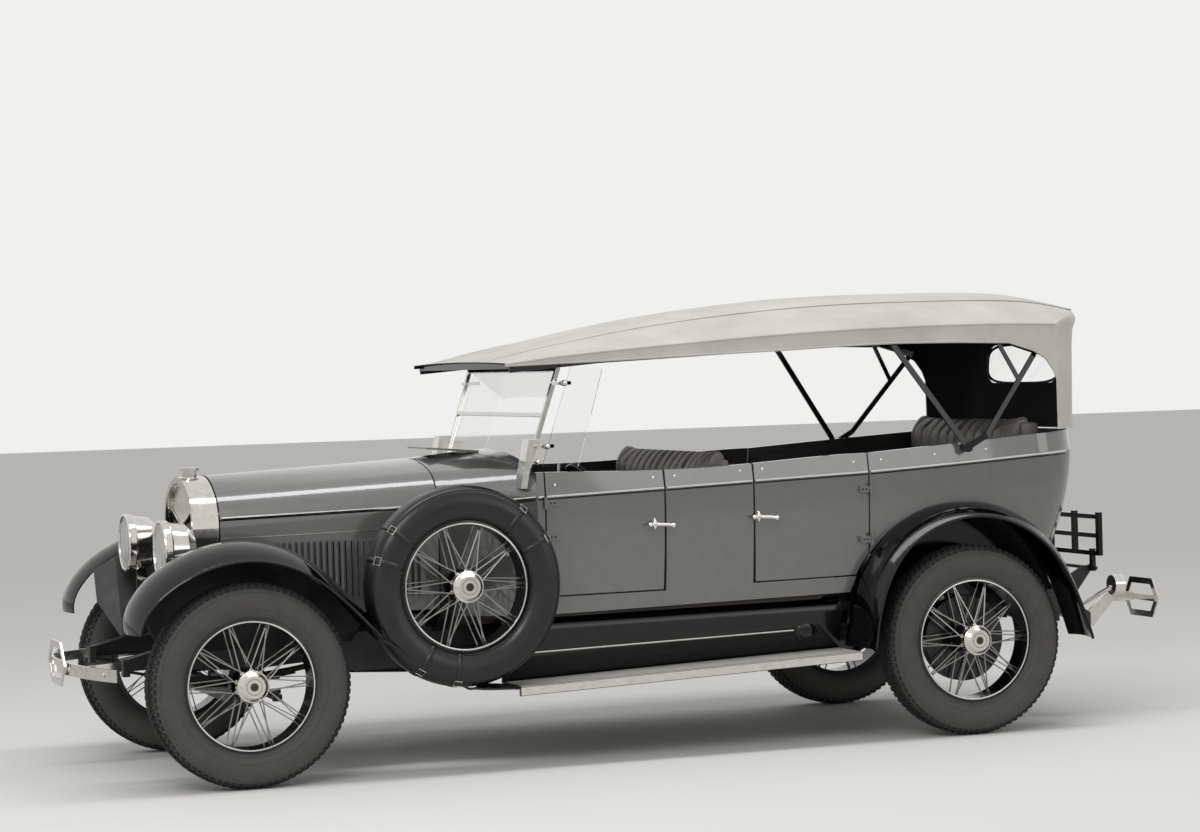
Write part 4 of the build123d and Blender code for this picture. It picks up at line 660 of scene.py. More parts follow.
class TOURING_OT_wheel_trim(bpy.types.Operator):
    """Add the bright rim rings and the cap's raised rings"""
    bl_idname = "touring.wheel_trim"
    bl_label = "Wheel trim"

    # Raised rings of the cap: radius, half width and way out
    CAP_RINGS = ((66, 2, 97), (49, 1.6, 112.4))

    def trim(self, bm, centre, side):
        """The rings of one wheel."""
        ring(bm, oval(277, 63, 4, 3, 8), centre, side, 96)
        for radius, wide, out in self.CAP_RINGS:
            ring(bm, oval(radius, out, wide, 0.9), centre, side, 48)

    def execute(self, context):
        for end in ("front", "rear"):
            for side, side_name in SIDES:
                bm = bmesh.new()
                self.trim(bm, wheel_centre(end, side_name), side)
                new_piece(f"wheel_trim_{end}_{side_name}", bm, f"{end}_{side_name}_wheel", ["nickel_plate"])
        bm = bmesh.new()
        for side, side_name in SIDES:
            self.trim(bm, spare_centre(side), side)
        new_piece("wheel_trim_spare", bm, "root", ["nickel_plate"])
        return {"FINISHED"}


class TOURING_OT_spares(bpy.types.Operator):
    """Make the covered spare tyres with their seams, straps and buckles"""
    bl_idname = "touring.spares"
    bl_label = "Spare covers"

    # Half section of a covered tyre: radius and way out
    COVER = (
        (291, 60), (300, 72), (322, 84), (350, 90), (378, 90.5), (404, 86), (424, 74), (436, 58), (442, 36),
        (443.5, 12),
    )
    SEAMS = ((300, 73), (424, 74), (424, -74))
    # Angles of the straps round the wheel, in degrees, and half a strap's width
    STRAPS = (-28, -51, -142, -162, 98, 122)
    STRAP_HALF = 11
    # Radius of the middle of the section, away from which a strap stands off
    SECTION_MIDDLE = 368
    STRAP_PROUD = 1.5

    def execute(self, context):
        section = list(self.COVER) + [(r, -y) for r, y in reversed(self.COVER)]
        covers, straps, buckles = bmesh.new(), bmesh.new(), bmesh.new()
        for side, side_name in SIDES:
            centre = spare_centre(side)
            ring(covers, section, centre, side, 128)
            for radius, out in self.SEAMS:
                ring(covers, oval(radius, out, 2.2, 2.2), centre, side, 128)
            for angle in self.STRAPS:
                turn = Matrix.Rotation(math.radians(angle), 3, "Y")
                self.lay_strap(straps, section[:len(self.COVER) + 6], centre, turn, side)
                self.buckle(buckles, centre, turn, side)
        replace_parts(new_piece("spare_covers", covers, "root", ["coated_cloth"]), "spare_tyres")
        belts = new_piece("spare_straps", straps, "root", ["coated_cloth"])
        thick = belts.modifiers.new("Thickness", "SOLIDIFY")
        thick.thickness = 2.4 * MM
        thick.offset = 0
        new_piece("spare_buckles", buckles, "root", ["nickel_plate"])
        return {"FINISHED"}

    def lay_strap(self, bm, section, centre, turn, side):
        """A strap over the cover, a little proud of it."""
        path = []
        for r, y in section:
            grow = Vector((r - self.SECTION_MIDDLE, y, 0)).normalized() * self.STRAP_PROUD * MM
            path.append(centre + turn @ Vector((r * MM + grow.x, side * (y * MM + grow.y), 0)))
        strap(bm, path, turn @ Vector((0, 0, self.STRAP_HALF * MM)))

    def buckle(self, bm, centre, turn, side):
        """A wire buckle that leans with the cover's shoulder."""
        corners = [Vector(((426 + u * 11) * MM, side * (79 - 11 * u) * MM, v * 17 * MM)) for u, v in
                   ((-1, -1), (1, -1), (1, 1), (-1, 1))]
        out = turn @ Vector((0.6, side * 0.8, 0))
        tube(bm, [centre + turn @ c for c in corners], 2.8 * MM, 6, closed=True, up=out)


class TOURING_OT_mouldings(bpy.types.Operator):
    """Run the bright belt moulding along hood, cowl, doors and body"""
    bl_idname = "touring.mouldings"
    bl_label = "Mouldings"

    # Node, body, first and last station
    RUNS = (
        ("cowl", "root", 980, 1350), ("body_sides", "root", 1360, 1386),
        ("door_front", "door_front", 1400, 1952), ("body_sides", "root", 1966, 2384),
        ("door_rear", "door_rear", 2398, 2965), ("tonneau", "root", 2979, 4060),
    )
    HOOD_STATIONS = range(12, 964, 50)

    def execute(self, context):
        size = context.scene.touring_finish.bead_size
        for side, side_name in SIDES:
            for index, (node, body, start, end) in enumerate(self.RUNS):
                moving = node.startswith("door")
                tree = surface(f"{node}_{side_name}" if moving else node)
                steps = max(2, int((end - start) / 60))
                stations = [start + (end - start) * i / steps for i in range(steps + 1)]
                points = [p for p in (on_side(tree, side, x, height_on(BELT, x), 1.5) for x in stations) if p]
                if len(points) < 2:
                    raise RuntimeError(f"no surface under the moulding of {node}")
                bm = bmesh.new()
                tube(bm, points, size)
                # A fine black line below the bright one: painted shade under the moulding
                tube(bm, [p - Vector((0, side * 0.001, 0.012)) for p in points], size * 0.5, 6, material=1)
                new_piece(f"belt_{index}_{side_name}", bm, f"{body}_{side_name}" if moving else body,
                          ["nickel_plate", "stove_enamel"])
            self.hood_line(f"hood_top_{side_name}", f"hood_bead_{side_name}", side, size, 8,
                           lambda x: height_on(BELT, x) + 9)
            self.hood_line(f"hood_side_{side_name}", f"hood_line_{side_name}", side, size * 0.3, 6,
                           lambda x: 1052 + 0.022 * x)
        return {"FINISHED"}

    def hood_line(self, leaf, name, side, radius, sides, height):
        """A bead along one leaf of the hood, at the height that it has at each station."""
        tree = surface(leaf)
        points = [on_side(tree, side, x, height(x)) for x in self.HOOD_STATIONS]
        bm = bmesh.new()
        tube(bm, [p for p in points if p], radius, sides)
        new_piece(name, bm, leaf, ["nickel_plate"])


class TOURING_OT_door_fittings(bpy.types.Operator):
    """Add the door handles and the curtain fasteners along the belt"""
    bl_idname = "touring.door_fittings"
    bl_label = "Door fittings"

    # Door, and station and height of the handle's spindle
    HANDLES = (("door_front", 1905, 1050), ("door_rear", 2412, 1062))
    # Line of the grip from its round end: way back and way down
    GRIP = ((-0.034, 0.0), (-0.012, 0.0), (0.02, 0.001), (0.05, 0.003), (0.078, 0.007))
    FASTENERS = (("cowl", 1180), ("door_front", 1440), ("door_front", 1905), ("body_sides", 2010),
                 ("body_sides", 2330), ("door_rear", 2440), ("door_rear", 2900), ("tonneau", 3040),
                 ("tonneau", 3320), ("tonneau", 3600))
    FASTENER_RISE = 48

    def execute(self, context):
        for side, side_name in SIDES:
            for door, x, z in self.HANDLES:
                self.handle(f"{door}_{side_name}", side, x, z)
            for index, (node, x) in enumerate(self.FASTENERS):
                name = f"{node}_{side_name}" if node.startswith("door") else node
                spot = on_side(surface(name), side, x, height_on(BELT, x) + self.FASTENER_RISE)
                if spot is None:
                    continue
                bm = bmesh.new()
                ball(bm, spot, 0.007, (1, 0.6, 1), rings=6)
                new_piece(f"fastener_{index}_{side_name}", bm, name if node.startswith("door") else "root",
                          ["nickel_plate"])
        return {"FINISHED"}

    def handle(self, door, side, x, z):
        """Rose, spindle, grip with its balls, and the two screws."""
        base = on_side(surface(door), side, x, z)
        out = Vector((0, side, 0))
        bm = bmesh.new()
        tube(bm, [base - out * 0.004, base + out * 0.005], 0.017, 20)
        tube(bm, [base, base + out * 0.034], 0.009, 12)
        grip = [base + out * 0.034 + Vector((back, 0, -drop)) for back, drop in self.GRIP]
        tube(bm, grip, 0.0085, 12)
        rise = Vector((0, 0, 0.02))
        for spot, radius, tall in ((grip[0], 0.0115, 1), (grip[-1], 0.0125, 1), (grip[1], 0.012, 1.9),
                                   (base + rise, 0.008, 1), (base - rise, 0.008, 1)):
            ball(bm, spot, radius, (1, 1, tall))
        new_piece(f"handle_{door}", bm, door, ["nickel_plate"])


class TOURING_OT_fender_beads(bpy.types.Operator):
    """Roll a bead along the outer edge of every fender"""
    bl_idname = "touring.fender_beads"
    bl_label = "Fender beads"

    # Fender sections: station, height and slope of the crown, half width and drop of the outer edge
    FRONT = (
        (-512, 690, 88, 180, 26), (-470, 838, 60, 205, 50), (-330, 963, 34, 218, 62), (-22, 1051, 0, 222, 66),
        (240, 988, -27, 222, 62), (430, 835, -45, 216, 48), (640, 607, -46, 200, 38), (840, 452, -29, 176, 28),
        (1030, 386, -11, 160, 14), (1195, 368, -2, 150, 6),
    )
    REAR = (
        (2868, 440, 84, 170, 46), (2900, 660, 68, 176, 56), (3050, 935, 48, 180, 62),
        (3240, 1053, 20, 180, 64), (3441, 1088, 0, 180, 64), (3650, 1050, -22, 180, 64),
        (3850, 920, -46, 180, 62), (3980, 730, -66, 178, 56), (4052, 520, -75, 170, 40),
        (4074, 425, -78, 160, 30),
    )
    MIDDLE = 780

    def execute(self, context):
        for node, rows in (("fenders_front", self.FRONT), ("fenders_rear", self.REAR)):
            tree = surface(node)
            for side, side_name in SIDES:
                points = []
                for x, z, slope, width, drop in rows:
                    lean = math.radians(slope)
                    points.append(at(x + math.sin(lean) * drop, side * (self.MIDDLE + width),
                                     z - math.cos(lean) * drop))
                bm = bmesh.new()
                tube(bm, [tree.find_nearest(p)[0] for p in smooth_line(points, 6)], 0.0055)
                new_piece(f"{node}_bead_{side_name}", bm, "root", ["stove_enamel"])
        return {"FINISHED"}


class TOURING_OT_radiator_trim(bpy.types.Operator):
    """Add the moulding under the radiator's plate and the headlamp rims"""
    bl_idname = "touring.radiator_trim"
    bl_label = "Radiator and lamps"

    # Lower edge of the plate, from the middle outwards: way out and height
    EDGE = ((0, 1112), (36, 1117), (72, 1126), (106, 1139), (140, 1152), (175, 1167), (208, 1172), (248, 1160))
    LENS_RADIUS = 0.129

    def execute(self, context):
        bm = bmesh.new()
        line = [at(-100, -y, z) for y, z in reversed(self.EDGE)] + [at(-100, y, z) for y, z in self.EDGE[1:]]
        tube(bm, line, 0.005)
        new_piece("radiator_moulding", bm, "root", ["nickel_plate"])
        for side, side_name in SIDES:
            bm = bmesh.new()
            centre = at(-285, side * 387, 1016)
            angles = [i * math.pi / 32 for i in range(64)]
            circle = [centre + Vector((0, math.cos(a), math.sin(a))) * self.LENS_RADIUS for a in angles]
            tube(bm, circle, 0.0062, closed=True, up=Vector((1, 0, 0)))
            new_piece(f"lamp_rim_{side_name}", bm, "root", ["nickel_plate"])
        return {"FINISHED"}


class TOURING_OT_running_boards(bpy.types.Operator):
    """Cover the running boards with matting and a bright edge"""
    bl_idname = "touring.running_boards"
    bl_label = "Running boards"

    def execute(self, context):
        for side, side_name in SIDES:
            front, back = at(1212, side * 735, 367.5), at(2850, side * 735, 426)
            slope = -math.atan2(back.z - front.z, back.x - front.x)
            bm = bmesh.new()
            self.plank(bm, front, back, 0.225, 0.004, slope)
            new_piece(f"step_mat_{side_name}", bm, "root", ["ribbed_matting"], smooth=False)
            bm = bmesh.new()
            self.plank(bm, at(1204, side * 860.2, 347), at(2860, side * 860.2, 405.5), 0.004, 0.036, slope)
            self.plank(bm, at(1204, side * 854, 367.2), at(2860, side * 854, 426), 0.016, 0.004, slope)
            bmesh.ops.bevel(bm, geom=bm.edges, offset=0.0012, affect="EDGES", segments=2, profile=0.5,
                            material=-1)
            new_piece(f"step_edge_{side_name}", bm, "root", ["nickel_plate"], smooth=False)
        return {"FINISHED"}

    def plank(self, bm, front, back, wide, thick, slope):
        """A flat bar between two points along the board."""
        block(bm, ((back - front).length, wide, thick), (front + back) / 2, slope)


# Roof of the top: station, height of the crown, height of the edge, half width
ROOF = (
    (1225, 1806, 1796, 704), (1500, 1880, 1826, 716), (2080, 1993, 1868, 726), (2780, 2067, 1906, 726),
    (3450, 2084, 1920, 722), (3980, 2072, 1912, 706), (4310, 2006, 1876, 690),
)
# Lower edge of the side cloth: station and height
SKIRT = (
    (1225, 1780), (1450, 1785), (1680, 1790), (2100, 1803), (2530, 1815), (2850, 1827), (3150, 1834),
    (3450, 1831), (3730, 1822), (3860, 1782), (3925, 1745), (3966, 1688), (3985, 1640),
)
# The rear curtain: height of its foot, station where it starts, and its outline from above (station, way out)
REAR_FOOT = 1408
CURTAIN_START = 3988
CORNER = ((3988, 698), (4060, 640), (4130, 578), (4200, 500), (4252, 440), (4276, 330), (4282, 160), (4282, 0))


def roof_row(x):
    """Crown, edge and half width of the roof at a station, on a smooth curve through the table."""
    i = next((i for i in range(len(ROOF) - 1) if x <= ROOF[i + 1][0]), len(ROOF) - 2)
    picked = [ROOF[max(0, min(len(ROOF) - 1, i + k))] for k in (-1, 0, 1, 2)]
    span = picked[2][0] - picked[1][0]
    t = (x - picked[1][0]) / span
    values = []
    for column in (1, 2, 3):
        p = [row[column] for row in picked]
        first = (p[2] - p[0]) / max(picked[2][0] - picked[0][0], 1) * span
        last = (p[3] - p[1]) / max(picked[3][0] - picked[1][0], 1) * span
        values.append((2 * t ** 3 - 3 * t * t + 1) * p[1] + (t ** 3 - 2 * t * t + t) * first
                      + (3 * t * t - 2 * t ** 3) * p[2] + (t ** 3 - t * t) * last)
    return values


def roof_height(x, y):
    """Height of the roof cloth over a place."""
    crown, edge, half = roof_row(x)
    rise = crown - edge
    radius = (half * half + rise * rise) / (2 * rise)
    return crown - radius + math.sqrt(max(radius * radius - min(abs(y), half) ** 2, 0))


class TOURING_OT_top(bpy.types.Operator):
    """Stretch the canvas over the bows, with its lining, seams, binding and rear window"""
    bl_idname = "touring.top"
    bl_label = "Cloth top"

    # Squares of cloth across the roof, and down each side cloth
    ACROSS = 28
    DOWN = 8
    # Shares of the way from the last bow to the curtain's rim at which a rib of the roof has a point
    RIB = (0, 0.2, 0.4, 0.6, 0.8, 0.93)
    # The rear curtain's face: station at its top, and how far its foot slants forward
    CURTAIN_FACE = 4192
    SLANT = 40
    WINDOW = (4170, 0, 1720)
    CLOTH = 5 * MM

    def section(self, x, low):
        """Points across the cloth at a station, from foot to foot of the side cloths."""
        edge, half = roof_row(x)[1:]
        down = [low + (edge - low) * i / self.DOWN for i in range(self.DOWN)]
        across = [half * math.sin(math.pi / 2 * (2 * i / self.ACROSS - 1)) for i in range(self.ACROSS + 1)]
        return ([(x, -half, z) for z in down] + [(x, y, roof_height(x, y)) for y in across]
                + [(x, half, z) for z in reversed(down)])

    def curtain_line(self):
        """Places along the curtain's outline, evenly spaced, one for each rib."""
        outline = [Vector((x, -y)) for x, y in CORNER] + [Vector((x, y)) for x, y in reversed(CORNER[:-1])]
        half = roof_row(CURTAIN_START)[2]
        outline[0].y, outline[-1].y = -half, half
        lengths = [0]
        for a, b in zip(outline, outline[1:]):
            lengths.append(lengths[-1] + (b - a).length)
        spots = []
        for i in range(self.ACROSS + 1):
            want = lengths[-1] * i / self.ACROSS
            k = max(j for j in range(len(lengths) - 1) if lengths[j] <= want + 1e-6)
            spots.append(outline[k].lerp(outline[k + 1], (want - lengths[k]) / (lengths[k + 1] - lengths[k])))
        return spots

    def rib(self, start, spot):
        """Points from the last bow back over the rim and down the rear curtain to its foot."""
        points = []
        for t in self.RIB:
            x, y = start[0] + (spot.x - start[0]) * t, start[1] + (spot.y - start[1]) * t
            points.append((x, y, roof_height(x, y)))
        over = max(0, min(1, (spot.x - self.CURTAIN_FACE) / 84))
        rim = roof_height(spot.x, spot.y)
        points.append((spot.x, spot.y, rim - 14 - 14 * over))
        points.append((spot.x, spot.y, rim - 40 - 20 * over))
        top = rim - 62 - 58 * over
        for j in range(9):
            z = top + (REAR_FOOT - top) * j / 8
            face = self.CURTAIN_FACE - self.SLANT * max(0, (1880 - z) / (1880 - REAR_FOOT))
            points.append((min(spot.x, face), spot.y, z))
        return points

    def skin(self, bm):
        """The cloth as one sheet: roof rows with side cloths, then ribs that fan round the rear."""
        stations = [1225 + (3730 - 1225) * i / 42 for i in range(43)] + [3800, 3860, 3925, 3966, 3985]
        rows = [self.section(x, height_on(SKIRT, x)) for x in stations]
        rows.append(self.section(CURTAIN_START, REAR_FOOT))
        sheet_of(bm, rows)
        last = rows[-1][self.DOWN:self.DOWN + self.ACROSS + 1]
        sheet_of(bm, [self.rib(start, spot) for start, spot in zip(last, self.curtain_line())])
        # The side seam where rib and skirt meet is closed by the merge, then the sheet is eased smooth
        bmesh.ops.remove_doubles(bm, verts=bm.verts, dist=1e-4)
        bmesh.ops.dissolve_degenerate(bm, dist=1e-4, edges=bm.edges)
        inner = [v for v in bm.verts if not v.is_boundary and v.co.z > (REAR_FOOT + 40) * MM]
        for _ in range(2):
            bmesh.ops.smooth_vert(bm, verts=inner, factor=0.5, use_axis_x=True, use_axis_y=True,
                                  use_axis_z=True)
        bmesh.ops.recalc_face_normals(bm, faces=bm.faces)
        highest = max(bm.faces, key=lambda f: f.calc_center_median().z)
        if highest.normal.z < 0:
            bmesh.ops.reverse_faces(bm, faces=bm.faces)

    def execute(self, context):
        bm = bmesh.new()
        self.skin(bm)
        cloth_area = sum(f.calc_area() for f in bm.faces)
        cloth = mesh_object("canvas_top", bm)
        for name in ("top_canvas", "top_lining", "top_lining"):
            cloth.data.materials.append(finish_named(name))
        thick = cloth.modifiers.new("Thickness", "SOLIDIFY")
        thick.thickness = self.CLOTH
        thick.offset = -1
        thick.material_offset = 1
        thick.material_offset_rim = 2
        bm = bmesh.new()
        self.window_block(bm, (0.5, 0.76, 0.19), at(*self.WINDOW), 0)
        cutter = mesh_object("window_cutter", bm)
        hole = cloth.modifiers.new("Window", "BOOLEAN")
        hole.operation = "DIFFERENCE"
        hole.object = cutter
        hole.solver = "EXACT"
        apply_modifiers(cloth)
        bpy.data.objects.remove(cutter)
        shade_smooth(cloth.data, 50)
        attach(cloth, "root")
        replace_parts(cloth, "top_cover")
        self.seams()
        self.window()
        return {"FINISHED"}

    def window_block(self, bm, size, place, turn):
        """Plate with the rear window's rounded outline."""
        made = block(bm, size, place, turn)
        # Only the edges along the thickness join corners with the same place across
        edges = {e for v in made for e in v.link_edges if abs(e.verts[0].co.y - e.verts[1].co.y) < 1e-4
                 and abs(e.verts[0].co.z - e.verts[1].co.z) < 0.01}
        bmesh.ops.bevel(bm, geom=list(edges), offset=0.085, affect="EDGES", segments=8, profile=0.5,
                        material=-1)

    def seams(self):
        """Piping along the roof's edges, seams over the roof and the hem of the side cloths."""
        bm = bmesh.new()
        for side, side_name in SIDES:
            edge = []
            for i in range(47):
                x = 1228 + (3985 - 1228) * i / 46
                height, half = roof_row(x)[1:]
                edge.append(at(x, side * (half + 0.5), height - 4))
            tube(bm, edge, 0.005)
            seam = [at(x, side * 400, roof_height(x, 400) + 0.5) for x in range(1235, 4240, 60)]
            tube(bm, seam, 0.0045, squash=2.2)
            low = [at(x, side * (roof_row(x)[2] + 0.5), z + 6) for x, z in SKIRT]
            tube(bm, low + [at(3987, side * 705, 1500), at(3987, side * 705, REAR_FOOT)], 0.0045)
        new_piece("top_seams", bm, "root", ["top_canvas"])

    def window(self):
        """Binding round the rear window, and its pane."""
        bm = bmesh.new()
        loop = []
        for i in range(40):
            a = 2 * math.pi * i / 40
            # An oval with squared ends, leaning with the curtain
            y = math.copysign(abs(math.cos(a)) ** 0.55, math.cos(a)) * 0.382
            z = math.copysign(abs(math.sin(a)) ** 0.55, math.sin(a)) * 0.097
            loop.append(at(4179, 0, 1720) + Vector((z * 0.085 + 0.002, y, z)))
        tube(bm, loop, 0.007, closed=True, up=Vector((1, 0, 0)))
        new_piece("window_binding", bm, "root", ["top_lining"])
        bm = bmesh.new()
        self.window_block(bm, (0.003, 0.764, 0.194), at(4176, 0, 1720), math.radians(4.9))
        new_piece("window_pane", bm, "root", ["plate_glass"], smooth=False)


class TOURING_OT_seats(bpy.types.Operator):
    """Stuff and pleat the front and rear seats"""
    bl_idname = "touring.seats"
    bl_label = "Seats"

    # Name, corners of the side view (station, height), half width and pitch of the pleats
    PADS = (
        ("front_cushion", ((1888, 800), (2170, 800), (2185, 900), (1888, 925)), 625, 84),
        ("front_back", ((2196, 905), (2290, 905), (2318, 1330), (2308, 1385), (2262, 1385), (2226, 1330)),
         622, 84),
        ("rear_cushion", ((3240, 950), (3760, 920), (3765, 1038), (3240, 1082)), 575, 96),
        ("rear_back", ((3776, 1045), (3880, 1045), (3928, 1425), (3918, 1482), (3868, 1482), (3826, 1420)),
         575, 96),
    )
    # Seat boxes and backs: first and last station, lowest and highest place, half width
    BOXES = (
        (1884, 2320, 672, 806, 636), (2290, 2330, 800, 1322, 602), (3236, 3930, 845, 948, 586),
        (3860, 3950, 940, 1440, 575),
    )
    VOXEL = 13 * MM
    PRESSURE = 4
    LAST_FRAME = 20
    SWELL = 24 * MM
    PLEAT = 8 * MM
    # Half width and depth of the seam at the middle
    SEAM_HALF = 20 * MM
    SEAM = 30 * MM

    def stuffed(self, context, name, corners, half, pitch):
        """A pad blown up from its side view, then pleated."""
        bm = bmesh.new()
        face = bm.faces.new([bm.verts.new(at(x, -half, z)) for x, z in corners])
        geom = bmesh.ops.extrude_face_region(bm, geom=[face])["geom"]
        bmesh.ops.translate(bm, verts=[g for g in geom if isinstance(g, bmesh.types.BMVert)],
                            vec=(0, 2 * half * MM, 0))
        bmesh.ops.recalc_face_normals(bm, faces=bm.faces)
        bmesh.ops.bevel(bm, geom=bm.edges, offset=0.026, affect="EDGES", segments=3, profile=0.5, material=-1)
        pad = mesh_object(name, bm)
        remesh = pad.modifiers.new("Remesh", "REMESH")
        remesh.mode = "VOXEL"
        remesh.voxel_size = self.VOXEL
        apply_modifiers(pad)
        self.swell(context, pad)
        finer = pad.modifiers.new("Finer", "SUBSURF")
        finer.levels = finer.render_levels = 1
        apply_modifiers(pad)
        self.pleat(pad.data, half * MM, pitch * MM)
        pad.data.materials.clear()
        pad.data.materials.append(finish_named("dressed_leather"))
        pad.data.polygons.foreach_set("use_smooth", [True] * len(pad.data.polygons))
        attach(pad, "root")
        return pad

    def swell(self, context, pad):
        """Cloth with air pressure inside and no gravity, whose points move no further than the cap."""
        cloth = pad.modifiers.new("Cloth", "CLOTH")
        cloth.settings.use_pressure = True
        cloth.settings.uniform_pressure_force = self.PRESSURE
        cloth.settings.effector_weights.gravity = 0
        cloth.settings.quality = 4
        for number in range(1, self.LAST_FRAME + 1):
            context.scene.frame_set(number)
        swollen = bpy.data.meshes.new_from_object(pad.evaluated_get(context.evaluated_depsgraph_get()))
        pad.modifiers.clear()
        for vert, new in zip(pad.data.vertices, swollen.vertices):
            move = new.co - vert.co
            vert.co = vert.co + move * min(1, self.SWELL / max(move.length, 1e-6))
        context.scene.frame_set(1)

    def pleat(self, mesh, half, pitch):
        """Sewn grooves that run up the pad, deepest where the leather faces out, and a seam at the middle."""
        normals = [v.normal.copy() for v in mesh.vertices]
        for vert, normal in zip(mesh.vertices, normals):
            off = abs(vert.co.y)
            groove = (1 - abs(math.sin(math.pi * vert.co.y / pitch))) ** 2.2 * self.PLEAT
            groove += self.SEAM * max(0, 1 - off / self.SEAM_HALF)
            fade = min(1, max(0, (half - off) / 0.04))
            vert.co -= normal * groove * (1 - abs(normal.y)) * fade

    def execute(self, context):
        pads = [self.stuffed(context, *row) for row in self.PADS]
        bm = bmesh.new()
        for x0, x1, z0, z1, half in self.BOXES:
            size = ((x1 - x0) * MM, 2 * half * MM, (z1 - z0) * MM)
            made = block(bm, size, at((x0 + x1) / 2, 0, (z0 + z1) / 2))
            edges = list({e for v in made for e in v.link_edges})
            bmesh.ops.bevel(bm, geom=edges, offset=0.01, affect="EDGES", segments=3, profile=0.5, material=-1)
        new_piece("seat_boxes", bm, "root", ["dressed_leather"])
        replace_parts(pads[0], "seats")
        return {"FINISHED"}


class TOURING_OT_louvres(bpy.types.Operator):
    """Put black strips behind the hood's louvres as painted shade in their openings"""
    bl_idname = "touring.louvres"
    bl_label = "Hood louvre slots"

    COUNT = 24
    FIRST = 256
    PITCH = 27

    def execute(self, context):
        for side, side_name in SIDES:
            tree = surface(f"hood_side_{side_name}")
            bm = bmesh.new()
            for i in range(self.COUNT):
                x = self.FIRST + self.PITCH * i
                low, high = (on_side(tree, side, x, z, 0.3) for z in (772, 1020))
                if low is None or high is None:
                    raise RuntimeError("no hood side behind a louvre")
                # A black strip in each louvre's opening: painted shade where the inside of the hood would show
                block(bm, (0.007, 0.0016, (high - low).length), (low + high) / 2)
                lip = [on_side(tree, side, x - 8, z, 0.5) for z in (768, 896, 1024)]
                tube(bm, lip, 0.0026, 6, material=1)
            new_piece(f"louvre_shade_slots_{side_name}", bm, f"hood_side_{side_name}",
                      ["stove_enamel", "cellulose_lacquer"])
        return {"FINISHED"}


class TOURING_OT_apron_trim(bpy.types.Operator):
    """Add the bright line and the round cap on the splash aprons"""
    bl_idname = "touring.apron_trim"
    bl_label = "Apron trim"

    # Section of the cap from its middle: radius and way out
    CAP = ((0, 12), (26, 11), (40, 9), (44, 5), (49, 5), (54, 2), (55, -4))

    def execute(self, context):
        tree = surface("running_boards")
        for side, side_name in SIDES:
            bm = bmesh.new()
            points = [on_side(tree, side, x, 492 + 0.022 * (x - 1300), 1) for x in range(1300, 2641, 60)]
            tube(bm, [p for p in points if p], 0.005)
            new_piece(f"apron_moulding_{side_name}", bm, "root", ["nickel_plate"])
            centre = on_side(tree, side, 2684, 513)
            if centre is None:
                raise RuntimeError("no apron behind the cap")
            bm = bmesh.new()
            button(bm, [Vector((r, side * y, 0)) for r, y in self.CAP], centre, (0, 1, 0), 40)
            new_piece(f"apron_cap_{side_name}", bm, "root", ["stove_enamel"])
        return {"FINISHED"}


class TOURING_OT_small_fittings(bpy.types.Operator):
    """Add the hinge screws, windshield knobs, bumper bolts and the tail lamp's lens"""
    bl_idname = "touring.small_fittings"
    bl_label = "Small fittings"

    # Stations and heights of the screws in each door's hinge straps
    HINGES = {"door_front": ((1414, 1432), (1014, 1166)), "door_rear": ((2951, 2933), (934, 1166))}
    # Station and height of the windshield's knobs
    KNOBS = ((1362, 1352), (1410, 1420), (1500, 1700))
    # Bumper bolts: way that the bumper is looked at along, way out and height
    BOLTS = ((1, -560, 505), (1, 560, 505), (1, -205, 505), (1, 205, 505), (-1, -455, 565), (-1, 455, 565))
    # Section of the tail lamp's lens from its middle: radius and way back
    LENS = ((0, 7), (14, 6.4), (26, 4.6), (36, 1.6), (40, -2))

    def execute(self, context):
        for side, side_name in SIDES:
            for door, (stations, heights) in self.HINGES.items():
                tree = surface(f"{door}_{side_name}")
                bm = bmesh.new()
                for z in heights:
                    for x in stations:
                        spot = on_side(tree, side, x, z)
                        if spot:
                            ball(bm, spot, 0.005, (1, 0.5, 1), 10, 6)
                new_piece(f"hinge_screws_{door}_{side_name}", bm, f"{door}_{side_name}", ["rolled_steel"])
            bm = bmesh.new()
            for x, z in self.KNOBS:
                spot = at(x, side * 706, z)
                out = Vector((0, side, 0))
                tube(bm, [spot - out * 0.012, spot + out * 0.006], 0.013, 16)
                ball(bm, spot + out * 0.012, 0.013, segments=16, rings=10)
            new_piece(f"windshield_knobs_{side_name}", bm, "root", ["nickel_plate"])
        tree = surface("bumpers")
        bm = bmesh.new()
        for way, y, z in self.BOLTS:
            hit = tree.ray_cast(at(-way * 6000, y, z), Vector((way, 0, 0)))[0]
            if hit:
                ball(bm, hit, 0.012, (0.4, 1, 1), 16)
        new_piece("bumper_bolts", bm, "root", ["nickel_plate"])
        bm = bmesh.new()
        button(bm, [Vector((x, r, 0)) for r, x in self.LENS], at(4386, -560, 640), (1, 0, 0), 32)
        new_piece("tail_lens", bm, "root", ["ruby_glass"])
        return {"FINISHED"}


